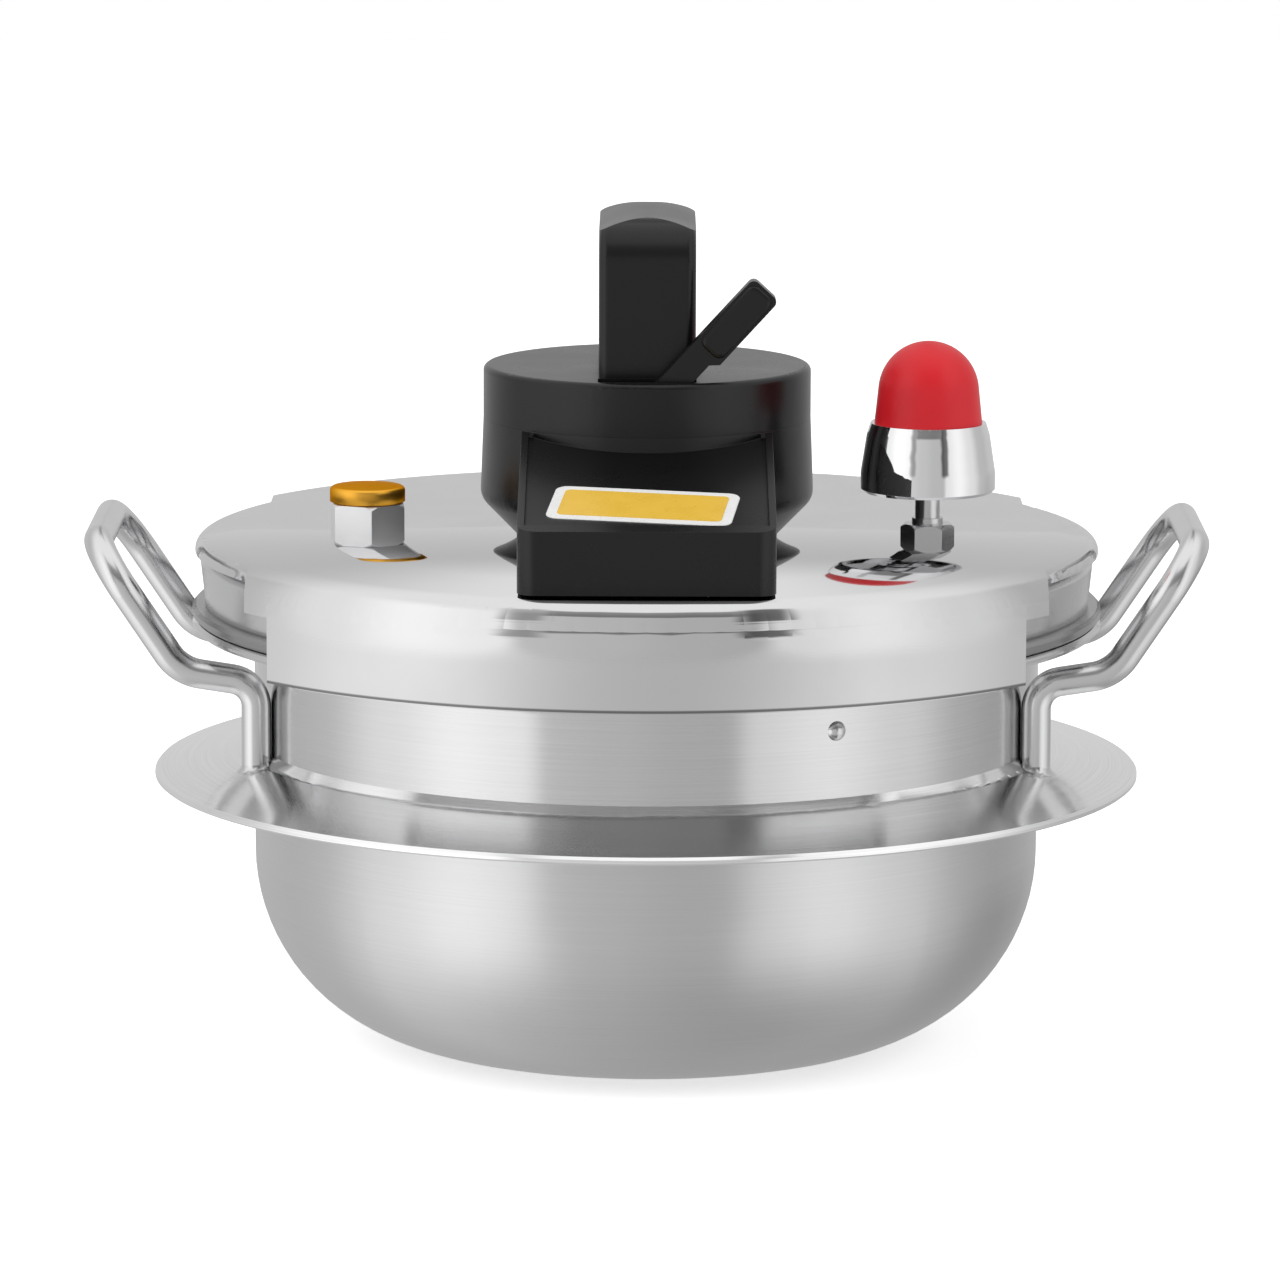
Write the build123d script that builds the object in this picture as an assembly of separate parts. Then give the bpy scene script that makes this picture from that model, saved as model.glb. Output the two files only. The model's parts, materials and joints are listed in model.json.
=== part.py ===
"""Stovetop pressure cooker in millimetres: +Z up, front toward -Y, origin under the centre of the pot."""
import os
from math import asin, atan2, cos, degrees, radians, sin, sqrt, tan

from build123d import *

# Running gaps
SLIDE_GAP = 0.4
SEAT_GAP = 0.3
PIN_GAP = 0.05

# Pot
POT_RADIUS = 102.0
POT_WALL = 2.0
POT_HEIGHT = 111.2
BASE_CORNER = 50.0
RIM_WIDTH = 16.0
RIM_THICKNESS = 2.4
RIM_BEVEL = 0.9
RIM_NECK_ROUND = 7.0
PIP_RADIUS = 2.7
PIP_BELOW_RIM = 14.8
PIP_ANGLE = 27.7

# Burner flange
FLANGE_WIDTH = 26.0
FLANGE_THICKNESS = 2.0
FLANGE_BELOW_RIM = 33.8
FLANGE_DROP = 6.0
FLANGE_COLLAR = 2.0
FLANGE_BEVEL = 0.6

# Side handles
ROD_DIAMETER = 7.6
HANDLE_LEG_SPACING = 70.0
HANDLE_ELBOW_BELOW_RIM = 12.7
HANDLE_KNEE_REACH = 17.5
HANDLE_KNEE_BELOW_RIM = 9.7
HANDLE_REACH = 38.8
HANDLE_TOP_ABOVE_RIM = 22.2
ELBOW_RADIUS = 7.0
KNEE_RADIUS = 12.0
CORNER_RADIUS = 14.0

# Pressure lid
LID_WALL = 1.8
LID_RISE = 19.0
SHOULDER_BEVEL = 2.0
LID_EDGE_INSET = 2.0
LID_WALL_TAPER = 1.4
LID_FLANGE_GAP = 0.3
LID_FLANGE_THICKNESS = 3.2

# Top cover
COVER_SHEET = 1.5
COVER_EDGE_INSET = 0.8
COVER_SKIRT_HEIGHT = 24.5
COVER_SKIRT_GAP = 0.3
COVER_FILLET = 7.0
SKIRT_INNER_BEVEL = 3.0
SKIRT_HALF_WIDTH = 94.5
SKIRT_SHOULDER_HALF_WIDTH = 100.5
SKIRT_SHOULDER_DROP = 8.0
COVER_LIP_DROP = 3.2
COVER_LIP_ROUND = 2.8

# Gasket
GASKET_WIDTH = 8.5
GASKET_LIP = 2.4
GASKET_BACK = 2.0

# Clamping jaws
JAW_SHEET = 1.8
JAW_TRAVEL = 5.4
JAW_RIM_CLEARANCE = 0.6
JAW_HALF_ANGLE = 44.0
JAW_TOP_WIDTH = 25.5
JAW_FILLET = 5.0
JAW_ARM_WIDTH = 30.0
JAW_JOGGLE = 3.0
PLATEAU_CLEARANCE = 2.0

# Jaw drive
JAW_PIN_DIAMETER = 5.0
JAW_PIN_OFFSET = 16.0
JAW_PIN_EDGE = 3.0
SHUTTLE_THICKNESS = 2.0
SHUTTLE_EDGE = 2.6
SLOT_GAP = 0.3
FORK_GAP = 0.5
FORK_TAB = 2.0
FORK_DEPTH = 4.0

# Lock lever
LEVER_LEAN = 42.5
LEVER_REACH = 43.5
LEVER_WIDTH = 6.8
LEVER_THICKNESS = 6.0
LEVER_SIDE_GAP = 0.4
LEVER_PIVOT_DEPTH = 7.8
LEVER_PIN_DIAMETER = 4.0
LEVER_HUB_RADIUS = 4.5
DRIVE_ARM = 12.0
DRIVE_ARM_WIDTH = 6.0
DRIVE_PIN_DIAMETER = 4.0
FINGER_PAD_LENGTH = 24.0
FINGER_PAD_STEP = 2.0
LEVER_FRONT = 34.0

# Housing
HOUSING_RADIUS = 43.2
HOUSING_FOOT_RADIUS = 33.0
HOUSING_FLARE_HEIGHT = 10.5
HOUSING_HEIGHT = 31.3
HOUSING_WALL = 2.6
BOX_WIDTH = 64.0
BOX_OVERHANG = 6.0
BOX_FRONT_HEIGHT = 17.0
BOX_ROOF_RISE = 14.0
BOX_RIDGE_REACH = 31.0
BOX_END_GAP = 1.0
BOX_CORNER_ROUND = 5.0
ROOF_RIB_WIDTH = 1.8
ROOF_RECESS = 1.2
ROOF_LEDGE = 5.0
FLOOR_THICKNESS = 2.5
FOOT_INSET = 7.8
GUIDE_RIB = 2.0
BOSS_RADIUS = 4.2
BOSS_GAP = 1.2
BOSS_Y = 18.0
STUD_DIAMETER = 4.0
STUD_PROJECTION = 5.5
STUD_NUT_WIDTH = 7.0
STUD_NUT_HEIGHT = 3.2

# Housing cap
CAP_RADIUS = 42.4
CAP_HEIGHT = 13.6
CAP_WALL = 2.4
CAP_CEILING = 2.6
CAP_EDGE_ROUND = 1.6
SPIGOT_DEPTH = 3.5
SPIGOT_WALL = 2.0
SPIGOT_GAP = 0.15
LUG_THICKNESS = 3.0
LUG_RADIUS = 4.5

# Carrying grip
GRIP_WIDTH = 24.8
GRIP_LENGTH = 60.0
GRIP_HEIGHT = 40.0
GRIP_LEG = 12.0
GRIP_BAR = 13.0
GRIP_OUTER_ROUND = 12.0
GRIP_INNER_ROUND = 9.0
GRIP_EDGE_ROUND = 2.5
GRIP_CROWN_RADIUS = 28.0
GRIP_SCREW_DIAMETER = 4.0
GRIP_SCREW_HEAD = 7.0
GRIP_SCREW_HEAD_HEIGHT = 2.4
GRIP_SCREW_LENGTH = 14.0
GRIP_SCREW_X = 7.0
GRIP_SCREW_INSET = 6.5

# Steam vent and pressure weight
VENT_X = 72.0
VENT_Y = -24.0
VENT_THREAD_RADIUS = 4.0
VENT_STEM_RADIUS = 3.2
VENT_STEM_BEVEL = 0.5
VENT_BORE_RADIUS = 1.25
VENT_TOP_RISE = 23.5
VENT_FLANGE_RADIUS = 8.0
VENT_FLANGE_THICKNESS = 1.7
VENT_NUT_WIDTH = 12.0
VENT_NUT_HEIGHT = 7.0
NUT_BEVEL = 1.0
THREAD_ABOVE_NUT = 1.5
SEAL_THICKNESS = 1.5
HOLE_GAP = 0.2
GUARD_DEPTH = 9.0
GUARD_WALL = 1.0
GUARD_SLOT = 3.0
WEIGHT_RISE = 15.3
WEIGHT_SKIRT_RADIUS = 17.25
WEIGHT_NECK_RADIUS = 14.8
WEIGHT_SHOULDER_HEIGHT = 5.0
WEIGHT_SHOULDER_BEVEL = 5.0
WEIGHT_SKIRT_HEIGHT = 17.8
WEIGHT_RECESS_DEPTH = 4.0
WEIGHT_RECESS_WALL = 2.0
WEIGHT_BEVEL = 0.8
WEIGHT_HUB_WALL = 2.4
WEIGHT_CAP_HEIGHT = 20.9
WEIGHT_CAP_RADIUS = 13.8
WEIGHT_DOME_RADIUS = 12.9
NEEDLE_RADIUS = 2.4
NEEDLE_TIP_RADIUS = 1.0
NEEDLE_TIP_LENGTH = 1.3
NEEDLE_LENGTH = 5.0

# Safety relief valve
RELIEF_X = -72.0
RELIEF_Y = -14.0
RELIEF_HEX_WIDTH = 18.0
RELIEF_HEX_HEIGHT = 10.5
RELIEF_HEX_TURN = 38.0
RELIEF_THREAD_RADIUS = 6.0
RELIEF_BORE_RADIUS = 4.0
RELIEF_PORT_RADIUS = 1.8
RELIEF_PORT_LENGTH = 3.0
RELIEF_NUT_HEIGHT = 4.0
RELIEF_SEAL_RADIUS = 9.0
RELIEF_TAIL = 1.2
RELIEF_CAP_RADIUS = 9.7
RELIEF_CAP_HEIGHT = 5.0
RELIEF_CAP_BEVEL = 1.0
PLUNGER_DISC = 2.0
PLUNGER_STEM_RADIUS = 1.5
PLUNGER_STEM_LENGTH = 6.0
SPRING_WIRE = 0.8
SPRING_COIL_RADIUS = 2.6
SPRING_TURNS = 4

# Heights and radii that follow from the sizes above
RIM_RADIUS = POT_RADIUS + RIM_WIDTH
RIM_UNDERSIDE = POT_HEIGHT - RIM_THICKNESS
FLANGE_JUNCTION_HEIGHT = POT_HEIGHT - FLANGE_BELOW_RIM
LID_TOP = POT_HEIGHT + LID_RISE
LID_UNDERSIDE = LID_TOP - LID_WALL
COVER_TOP = LID_TOP + COVER_SHEET
SHOULDER_TOP = LID_TOP - JAW_SHEET - 2 * SEAT_GAP
LID_EDGE_RADIUS = RIM_RADIUS - LID_EDGE_INSET
LID_FOOT_RADIUS = LID_EDGE_RADIUS - LID_WALL_TAPER
LID_FOOT = POT_HEIGHT + LID_FLANGE_GAP
JAW_INSIDE = RIM_RADIUS + SEAT_GAP + JAW_TRAVEL
JAW_OUTSIDE = JAW_INSIDE + JAW_SHEET
JAW_TOP = SHOULDER_TOP + SEAT_GAP + JAW_SHEET
JAW_INNER_EDGE = JAW_OUTSIDE - JAW_TOP_WIDTH
JAW_LIP_EDGE = RIM_RADIUS + JAW_RIM_CLEARANCE
JAW_LIP_TOP = RIM_UNDERSIDE - SLIDE_GAP
SKIRT_INSIDE = JAW_OUTSIDE + COVER_SKIRT_GAP
SKIRT_OUTSIDE = SKIRT_INSIDE + COVER_SHEET
PLATEAU_RADIUS = JAW_INNER_EDGE - JAW_TRAVEL - PLATEAU_CLEARANCE
ARM_ROOT = JAW_INNER_EDGE + JAW_SHEET
ARM_KNEE = ARM_ROOT - JAW_JOGGLE
ARM_BOTTOM = COVER_TOP + SEAT_GAP
ARM_TOP = ARM_BOTTOM + JAW_SHEET
SHUTTLE_BOTTOM = ARM_TOP + SLIDE_GAP
SHUTTLE_TOP = SHUTTLE_BOTTOM + SHUTTLE_THICKNESS
FLOOR_BOTTOM = SHUTTLE_TOP + SLIDE_GAP
FLOOR_TOP = FLOOR_BOTTOM + FLOOR_THICKNESS
HOUSING_TOP = COVER_TOP + HOUSING_HEIGHT
CAP_TOP = HOUSING_TOP + CAP_HEIGHT
CEILING = CAP_TOP - CAP_CEILING
PIVOT_HEIGHT = CAP_TOP - LEVER_PIVOT_DEPTH
LEVER_BACK = LEVER_FRONT - LEVER_THICKNESS / 2
LEVER_FACE = LEVER_FRONT + LEVER_THICKNESS / 2
SHUTTLE_TRAVEL = 2 * DRIVE_ARM * sin(radians(LEVER_LEAN))
SHUTTLE_HALF_LENGTH = SHUTTLE_TRAVEL / 2 + JAW_PIN_DIAMETER / 2 + SLOT_GAP + SHUTTLE_EDGE
SHUTTLE_HALF_WIDTH = JAW_PIN_OFFSET + JAW_PIN_DIAMETER / 2 + SLOT_GAP + SHUTTLE_EDGE
FORK_INSIDE = DRIVE_PIN_DIAMETER / 2 + FORK_GAP
FORK_OUTSIDE = FORK_INSIDE + FORK_TAB
FORK_FRONT = LEVER_BACK - LEVER_SIDE_GAP
FORK_BACK = FORK_FRONT - FORK_DEPTH
FORK_REACH = FORK_OUTSIDE + SHUTTLE_TRAVEL / 2 + 2 * SLIDE_GAP
BOX_FRONT = JAW_INNER_EDGE + BOX_OVERHANG
FOOT_END = PLATEAU_RADIUS - FOOT_INSET
BOSS_X = SHUTTLE_HALF_LENGTH + SHUTTLE_TRAVEL / 2 + BOSS_GAP + BOSS_RADIUS
CAVITY_RADIUS = HOUSING_RADIUS - HOUSING_WALL
SEAL_BOTTOM = LID_UNDERSIDE - SEAL_THICKNESS


def bevelled(before, corner, after):
    """Two points that cut a corner off, at its third value's distance along both of its sides."""
    point = Vector(corner[0], corner[1])
    sides = [(Vector(other[0], other[1]) - point).normalized() for other in (before, after)]
    return [point + side * abs(corner[2]) for side in sides]


def rounded_face(corners):
    """Closed face through (r, z) corners; a third value rounds a corner, or bevels it if negative."""
    outline = []
    for before, corner, after in zip(corners[-1:] + corners[:-1], corners, corners[1:] + corners[:1]):
        has_bevel = len(corner) == 3 and corner[2] < 0
        outline += bevelled(before, corner, after) if has_bevel else [Vector(corner[0], corner[1])]
    face = make_face(Polyline(*outline, close=True)).face()
    for corner in corners:
        if len(corner) == 3 and corner[2] > 0:
            nearest = face.vertices().sort_by_distance(Vector(corner[0], corner[1]))[0]
            face = face.fillet_2d(corner[2], [nearest])
    return face


def turned(corners, sweep_angle=360.0):
    """Solid of revolution about Z from a rounded half profile."""
    return revolve(Plane.XZ * rounded_face(corners), Axis.Z, revolution_arc=sweep_angle)


def post(radius, bottom, top, x=0.0, y=0.0):
    """Upright cylinder between two heights."""
    return Pos(x, y, bottom) * extrude(Circle(radius), top - bottom)


def block(x_low, x_high, y_low, y_high, z_low, z_high):
    """Box between two corners."""
    size = Box(x_high - x_low, y_high - y_low, z_high - z_low)
    return Pos((x_low + x_high) / 2, (y_low + y_high) / 2, (z_low + z_high) / 2) * size


def hex_prism(width, bottom, top, x=0.0, y=0.0):
    """Upright hexagon, given across its flats."""
    return Pos(x, y, bottom) * extrude(RegularPolygon(width / sqrt(3), 6), top - bottom)


def bevelled_hex(width, bottom, top):
    """Upright hexagon whose corners are turned off at both ends."""
    corner = width / sqrt(3)
    blank = turned([(0, bottom), (corner, bottom, -NUT_BEVEL), (corner, top, -NUT_BEVEL), (0, top)])
    return hex_prism(width, bottom, top) & blank


def side_slab(corners, width):
    """Slab of a (y, z) outline, centred on X."""
    return Pos(-width / 2, 0, 0) * extrude(Plane.YZ * rounded_face(corners), width)


def pot_body():
    """Pot with a rounded base, a straight neck, a thick rim flange and one pressed pip."""
    inside = POT_RADIUS - POT_WALL
    shell = turned([
        (0, 0), (POT_RADIUS, 0, BASE_CORNER), (POT_RADIUS, RIM_UNDERSIDE, RIM_NECK_ROUND),
        (RIM_RADIUS, RIM_UNDERSIDE, -RIM_BEVEL), (RIM_RADIUS, POT_HEIGHT, -RIM_BEVEL),
        (inside, POT_HEIGHT, -RIM_BEVEL), (inside, POT_WALL, BASE_CORNER - POT_WALL), (0, POT_WALL),
    ])
    pip_place = Rot(0, 0, PIP_ANGLE) * Pos(0, -(POT_RADIUS - POT_WALL / 2), POT_HEIGHT - PIP_BELOW_RIM)
    return shell + pip_place * Sphere(PIP_RADIUS)


def flange_top():
    """Upper outline of the burner flange, from its collar on the neck down to its edge."""
    slope = FLANGE_DROP / FLANGE_WIDTH
    return [
        (POT_RADIUS, FLANGE_JUNCTION_HEIGHT + FLANGE_COLLAR),
        (POT_RADIUS + FLANGE_COLLAR, FLANGE_JUNCTION_HEIGHT - FLANGE_COLLAR * slope, FLANGE_COLLAR),
        (POT_RADIUS + FLANGE_WIDTH, FLANGE_JUNCTION_HEIGHT - FLANGE_DROP, -FLANGE_BEVEL),
    ]


def burner_flange():
    """Ring welded round the neck, which slopes down to a rounded edge."""
    edge_bottom = FLANGE_JUNCTION_HEIGHT - FLANGE_DROP - FLANGE_THICKNESS
    return turned(flange_top() + [
        (POT_RADIUS + FLANGE_WIDTH, edge_bottom, -FLANGE_BEVEL),
        (POT_RADIUS, FLANGE_JUNCTION_HEIGHT - FLANGE_THICKNESS),
    ])


def side_handle():
    """Bent rod on the right of the pot: two legs on the neck and the flange, and one bar across."""
    half = HANDLE_LEG_SPACING / 2
    leg_x = sqrt((POT_RADIUS + ROD_DIAMETER / 2 + PIN_GAP) ** 2 - half ** 2)
    leg = [
        (leg_x, FLANGE_JUNCTION_HEIGHT - FLANGE_DROP), (leg_x, POT_HEIGHT - HANDLE_ELBOW_BELOW_RIM),
        (POT_RADIUS + HANDLE_KNEE_REACH, POT_HEIGHT - HANDLE_KNEE_BELOW_RIM),
        (POT_RADIUS + HANDLE_REACH, POT_HEIGHT + HANDLE_TOP_ABOVE_RIM),
    ]
    front = [(x, -half, z) for x, z in leg]
    rear = [(x, half, z) for x, z in reversed(leg)]
    bends = [ELBOW_RADIUS, KNEE_RADIUS, CORNER_RADIUS]
    path = FilletPolyline(*front, *rear, radius=bends + bends[::-1])
    rod = sweep(Plane(path @ 0, z_dir=path % 0) * Circle(ROD_DIAMETER / 2), path)
    under_flange = turned(flange_top() + [(POT_RADIUS + FLANGE_WIDTH, 0), (POT_RADIUS, 0)])
    return rod - under_flange


def through_holes():
    """Holes for the vent and the relief valve, through the lid and its cover."""
    vent = post(VENT_THREAD_RADIUS + HOLE_GAP, POT_HEIGHT, HOUSING_TOP, VENT_X, VENT_Y)
    return vent + post(RELIEF_THREAD_RADIUS + HOLE_GAP, POT_HEIGHT, HOUSING_TOP, RELIEF_X, RELIEF_Y)


def lid_shell():
    """Pressure lid: plateau, lower shoulder for the jaws, tapered wall and a flange over the rim."""
    flange_top = LID_FOOT + LID_FLANGE_THICKNESS
    shell = turned([
        (0, LID_TOP), (PLATEAU_RADIUS, LID_TOP), (PLATEAU_RADIUS, SHOULDER_TOP),
        (LID_EDGE_RADIUS, SHOULDER_TOP, -SHOULDER_BEVEL), (LID_FOOT_RADIUS, flange_top),
        (RIM_RADIUS, flange_top, -RIM_BEVEL), (RIM_RADIUS, LID_FOOT, -RIM_BEVEL),
        (LID_FOOT_RADIUS - LID_WALL, LID_FOOT),
        (LID_EDGE_RADIUS - LID_WALL, SHOULDER_TOP - LID_WALL, -SHOULDER_BEVEL),
        (PLATEAU_RADIUS - LID_WALL, SHOULDER_TOP - LID_WALL),
        (PLATEAU_RADIUS - LID_WALL, LID_UNDERSIDE), (0, LID_UNDERSIDE),
    ])
    return shell - through_holes()


def skirt_profile(bottom):
    """Half profile of the cover's rim where it is drawn over and down to a height."""
    return [
        (PLATEAU_RADIUS, COVER_TOP), (SKIRT_OUTSIDE, COVER_TOP, COVER_FILLET), (SKIRT_OUTSIDE, bottom),
        (SKIRT_INSIDE, bottom), (SKIRT_INSIDE, LID_TOP, -SKIRT_INNER_BEVEL), (PLATEAU_RADIUS, LID_TOP),
    ]


def side_lip():
    """Ring of the cover whose edge is turned down a little, as it is between the two skirts."""
    edge = RIM_RADIUS - COVER_EDGE_INSET
    inside = edge - COVER_SHEET
    bottom = COVER_TOP - COVER_LIP_DROP
    return turned([
        (PLATEAU_RADIUS, COVER_TOP), (edge, COVER_TOP, COVER_LIP_ROUND), (edge, bottom), (inside, bottom),
        (inside, LID_TOP, COVER_SHEET - COVER_LIP_ROUND), (PLATEAU_RADIUS, LID_TOP),
    ])


def lid_cover():
    """Bright cover over the pressure lid: one sheet with a deep skirt at the front and at the rear."""
    reach = SKIRT_OUTSIDE
    between = SKIRT_SHOULDER_HALF_WIDTH
    cover = post(PLATEAU_RADIUS + COVER_SHEET, LID_TOP, COVER_TOP)
    cover += side_lip() - block(-between, between, -reach, reach, 0, CAP_TOP)
    drops = ((SKIRT_HALF_WIDTH, COVER_SKIRT_HEIGHT), (between, SKIRT_SHOULDER_DROP))
    for half_width, drop in drops:
        skirt = turned(skirt_profile(COVER_TOP - drop))
        cover += skirt & block(-half_width, half_width, -reach, reach, 0, CAP_TOP)
    slot_out = ARM_ROOT + JAW_SHEET / 2 + 2 * SLIDE_GAP
    slot_in = ARM_KNEE - JAW_TRAVEL - 2 * JAW_SHEET
    slot_half = JAW_ARM_WIDTH / 2 + SLIDE_GAP
    for side in (-1, 1):
        y_low, y_high = sorted((side * slot_out, side * slot_in))
        cover -= block(-slot_half, slot_half, y_low, y_high, POT_HEIGHT, HOUSING_TOP)
    for x, y in boss_places():
        cover -= post(STUD_DIAMETER / 2 + HOLE_GAP, POT_HEIGHT, HOUSING_TOP, x, y)
    return cover - through_holes()


def lid_gasket():
    """C-section ring under the shoulder, open toward the steam, whose lower lip lies on the rim."""
    top = SHOULDER_TOP - LID_WALL - SEAT_GAP
    foot = LID_FOOT_RADIUS - LID_WALL - SEAT_GAP
    inside = foot - GASKET_WIDTH
    return turned([
        (inside, POT_HEIGHT), (foot, POT_HEIGHT), (foot, top, -SHOULDER_BEVEL), (inside, top),
        (inside, top - GASKET_LIP), (foot - GASKET_BACK, top - GASKET_LIP),
        (foot - GASKET_BACK, POT_HEIGHT + GASKET_LIP), (inside, POT_HEIGHT + GASKET_LIP),
    ])


def jaw():
    """Front jaw: a pressed arc under the cover with a top flange, a web, a lip and a joggled arm."""
    inner_fillet = JAW_FILLET - JAW_SHEET
    top_bottom = JAW_TOP - JAW_SHEET
    lip_bottom = JAW_LIP_TOP - JAW_SHEET
    arc = turned([
        (JAW_INNER_EDGE, JAW_TOP), (JAW_OUTSIDE, JAW_TOP, JAW_FILLET), (JAW_OUTSIDE, lip_bottom),
        (JAW_LIP_EDGE, lip_bottom), (JAW_LIP_EDGE, JAW_LIP_TOP), (JAW_INSIDE, JAW_LIP_TOP),
        (JAW_INSIDE, top_bottom, inner_fillet), (JAW_INNER_EDGE, top_bottom),
    ], 2 * JAW_HALF_ANGLE)
    tip = JAW_PIN_OFFSET - JAW_PIN_DIAMETER / 2 - JAW_PIN_EDGE
    bend = JAW_SHEET / 2
    root = ARM_ROOT + JAW_SHEET
    arm = side_slab([
        (-root, top_bottom), (-ARM_ROOT, top_bottom), (-ARM_KNEE, ARM_BOTTOM), (-tip, ARM_BOTTOM),
        (-tip, ARM_TOP), (-ARM_KNEE - bend, ARM_TOP), (-ARM_ROOT - bend, JAW_TOP), (-root, JAW_TOP),
    ], JAW_ARM_WIDTH)
    pin_hole = post(JAW_PIN_DIAMETER / 2, LID_TOP, ARM_TOP + JAW_SHEET, 0, -JAW_PIN_OFFSET)
    return Rot(0, 0, -90 - JAW_HALF_ANGLE) * arc + arm - pin_hole


def jaw_pin():
    """Pin riveted in the front jaw's arm, which rides in a slot of the shuttle."""
    return post(JAW_PIN_DIAMETER / 2, ARM_BOTTOM, SHUTTLE_TOP, 0, -JAW_PIN_OFFSET)


def shuttle_plate():
    """Sliding plate with two inclined slots for the jaw pins and a fork for the lever's drive pin."""
    half_travel = SHUTTLE_TRAVEL / 2
    plate = block(-SHUTTLE_HALF_LENGTH, SHUTTLE_HALF_LENGTH, -SHUTTLE_HALF_WIDTH, SHUTTLE_HALF_WIDTH,
                  SHUTTLE_BOTTOM, SHUTTLE_TOP)
    slot_height = SHUTTLE_THICKNESS * 3
    for side in (-1, 1):
        outer = Vector(half_travel, side * JAW_PIN_OFFSET)
        inner = Vector(-half_travel, side * (JAW_PIN_OFFSET - JAW_TRAVEL))
        slot = SlotCenterToCenter((outer - inner).length, JAW_PIN_DIAMETER + 2 * SLOT_GAP)
        lean = degrees(atan2(outer.Y - inner.Y, outer.X - inner.X))
        middle = (outer + inner) / 2
        cut = extrude(Rot(0, 0, lean) * slot, slot_height)
        plate -= Pos(middle.X, middle.Y, SHUTTLE_BOTTOM - SHUTTLE_THICKNESS) * cut
    neck = block(-FORK_OUTSIDE, FORK_OUTSIDE, -FORK_FRONT, -SHUTTLE_HALF_WIDTH, SHUTTLE_BOTTOM, SHUTTLE_TOP)
    tab_top = PIVOT_HEIGHT - DRIVE_ARM * cos(radians(LEVER_LEAN)) + DRIVE_PIN_DIAMETER / 2 + FORK_GAP
    plate += neck
    for low, high in ((-FORK_OUTSIDE, -FORK_INSIDE), (FORK_INSIDE, FORK_OUTSIDE)):
        plate += block(low, high, -FORK_FRONT, -FORK_BACK, SHUTTLE_BOTTOM, tab_top)
    return Pos(-half_travel, 0, 0) * plate


def lever_place():
    """Place of the lever's own frame at rest: its pivot, leaned to the right."""
    return Pos(0, -LEVER_FRONT, PIVOT_HEIGHT) * Rot(0, LEVER_LEAN, 0)


def lever_slab(corners):
    """Slab in the lever's frame of an (x, z) outline, as thick as the lever."""
    return Pos(0, LEVER_THICKNESS / 2, 0) * extrude(Plane.XZ * rounded_face(corners), LEVER_THICKNESS)


def lever_bore(radius, height):
    """Cross hole through the lever at a height over its pivot."""
    return Pos(0, 0, height) * Rot(90, 0, 0) * Cylinder(radius, 2 * LEVER_THICKNESS)


def lock_lever():
    """Toggle lever: hub, finger bar with a stepped pad at its tip, and a drive arm below the pivot."""
    half = LEVER_WIDTH / 2
    arm_half = DRIVE_ARM_WIDTH / 2
    pad = LEVER_REACH - FINGER_PAD_LENGTH
    bar = lever_slab([
        (-half, 0), (half, 0), (half, pad), (half + FINGER_PAD_STEP, pad + FINGER_PAD_STEP),
        (half + FINGER_PAD_STEP, LEVER_REACH, half / 2), (-half, LEVER_REACH, half / 2),
    ])
    arm = lever_slab([
        (-arm_half, 0), (arm_half, 0), (arm_half, -DRIVE_ARM - arm_half, arm_half / 2),
        (-arm_half, -DRIVE_ARM - arm_half, arm_half / 2),
    ])
    hub = Rot(90, 0, 0) * Cylinder(LEVER_HUB_RADIUS, LEVER_THICKNESS)
    lever = bar + arm + hub - lever_bore(LEVER_PIN_DIAMETER / 2 + PIN_GAP, 0)
    return lever_place() * (lever - lever_bore(DRIVE_PIN_DIAMETER / 2, -DRIVE_ARM))


def drive_pin():
    """Pin pressed in the drive arm, which reaches back into the shuttle's fork."""
    length = LEVER_THICKNESS + LEVER_SIDE_GAP + FORK_DEPTH
    pin = Rot(90, 0, 0) * Cylinder(DRIVE_PIN_DIAMETER / 2, length)
    return lever_place() * Pos(0, (length - LEVER_THICKNESS) / 2, -DRIVE_ARM) * pin


def lever_pin():
    """Axle of the lever, held by the cap's two lugs."""
    front = LEVER_FACE + LEVER_SIDE_GAP + LUG_THICKNESS
    back = LEVER_BACK - LEVER_SIDE_GAP - LUG_THICKNESS
    pin = Rot(90, 0, 0) * Cylinder(LEVER_PIN_DIAMETER / 2, front - back)
    return Pos(0, -(front + back) / 2, PIVOT_HEIGHT) * pin


def box_outline(inset, bottom):
    """Side outline of the front and rear boxes with their sloped roofs, moved inward by a wall."""
    front = BOX_FRONT - inset
    eave = COVER_TOP + BOX_FRONT_HEIGHT - inset
    ridge = eave + BOX_ROOF_RISE
    return [
        (-front, bottom), (-front, eave), (-BOX_RIDGE_REACH, ridge),
        (BOX_RIDGE_REACH, ridge), (front, eave), (front, bottom),
    ]


def housing_outside():
    """Outer form of the housing: a flared round drum across one long box."""
    flare_top = COVER_TOP + HOUSING_FLARE_HEIGHT
    drum = turned([
        (0, COVER_TOP), (HOUSING_FOOT_RADIUS, COVER_TOP), (HOUSING_RADIUS, flare_top, BOX_CORNER_ROUND),
        (CAP_RADIUS, HOUSING_TOP), (0, HOUSING_TOP),
    ])
    box = side_slab(box_outline(0, COVER_TOP), BOX_WIDTH)
    box = fillet(box.edges().filter_by(Axis.Z), BOX_CORNER_ROUND)
    recess_half = BOX_WIDTH / 2 - ROOF_RIB_WIDTH
    eave = COVER_TOP + BOX_FRONT_HEIGHT
    for side in (-1, 1):
        ledge = side * (BOX_FRONT - ROOF_LEDGE)
        ridge = side * BOX_RIDGE_REACH
        box -= side_slab([
            (ledge, eave + BOX_ROOF_RISE), (ledge, eave - ROOF_RECESS),
            (ridge, eave + BOX_ROOF_RISE - ROOF_RECESS), (ridge, HOUSING_TOP),
        ], 2 * recess_half)
    return drum + box


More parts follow.
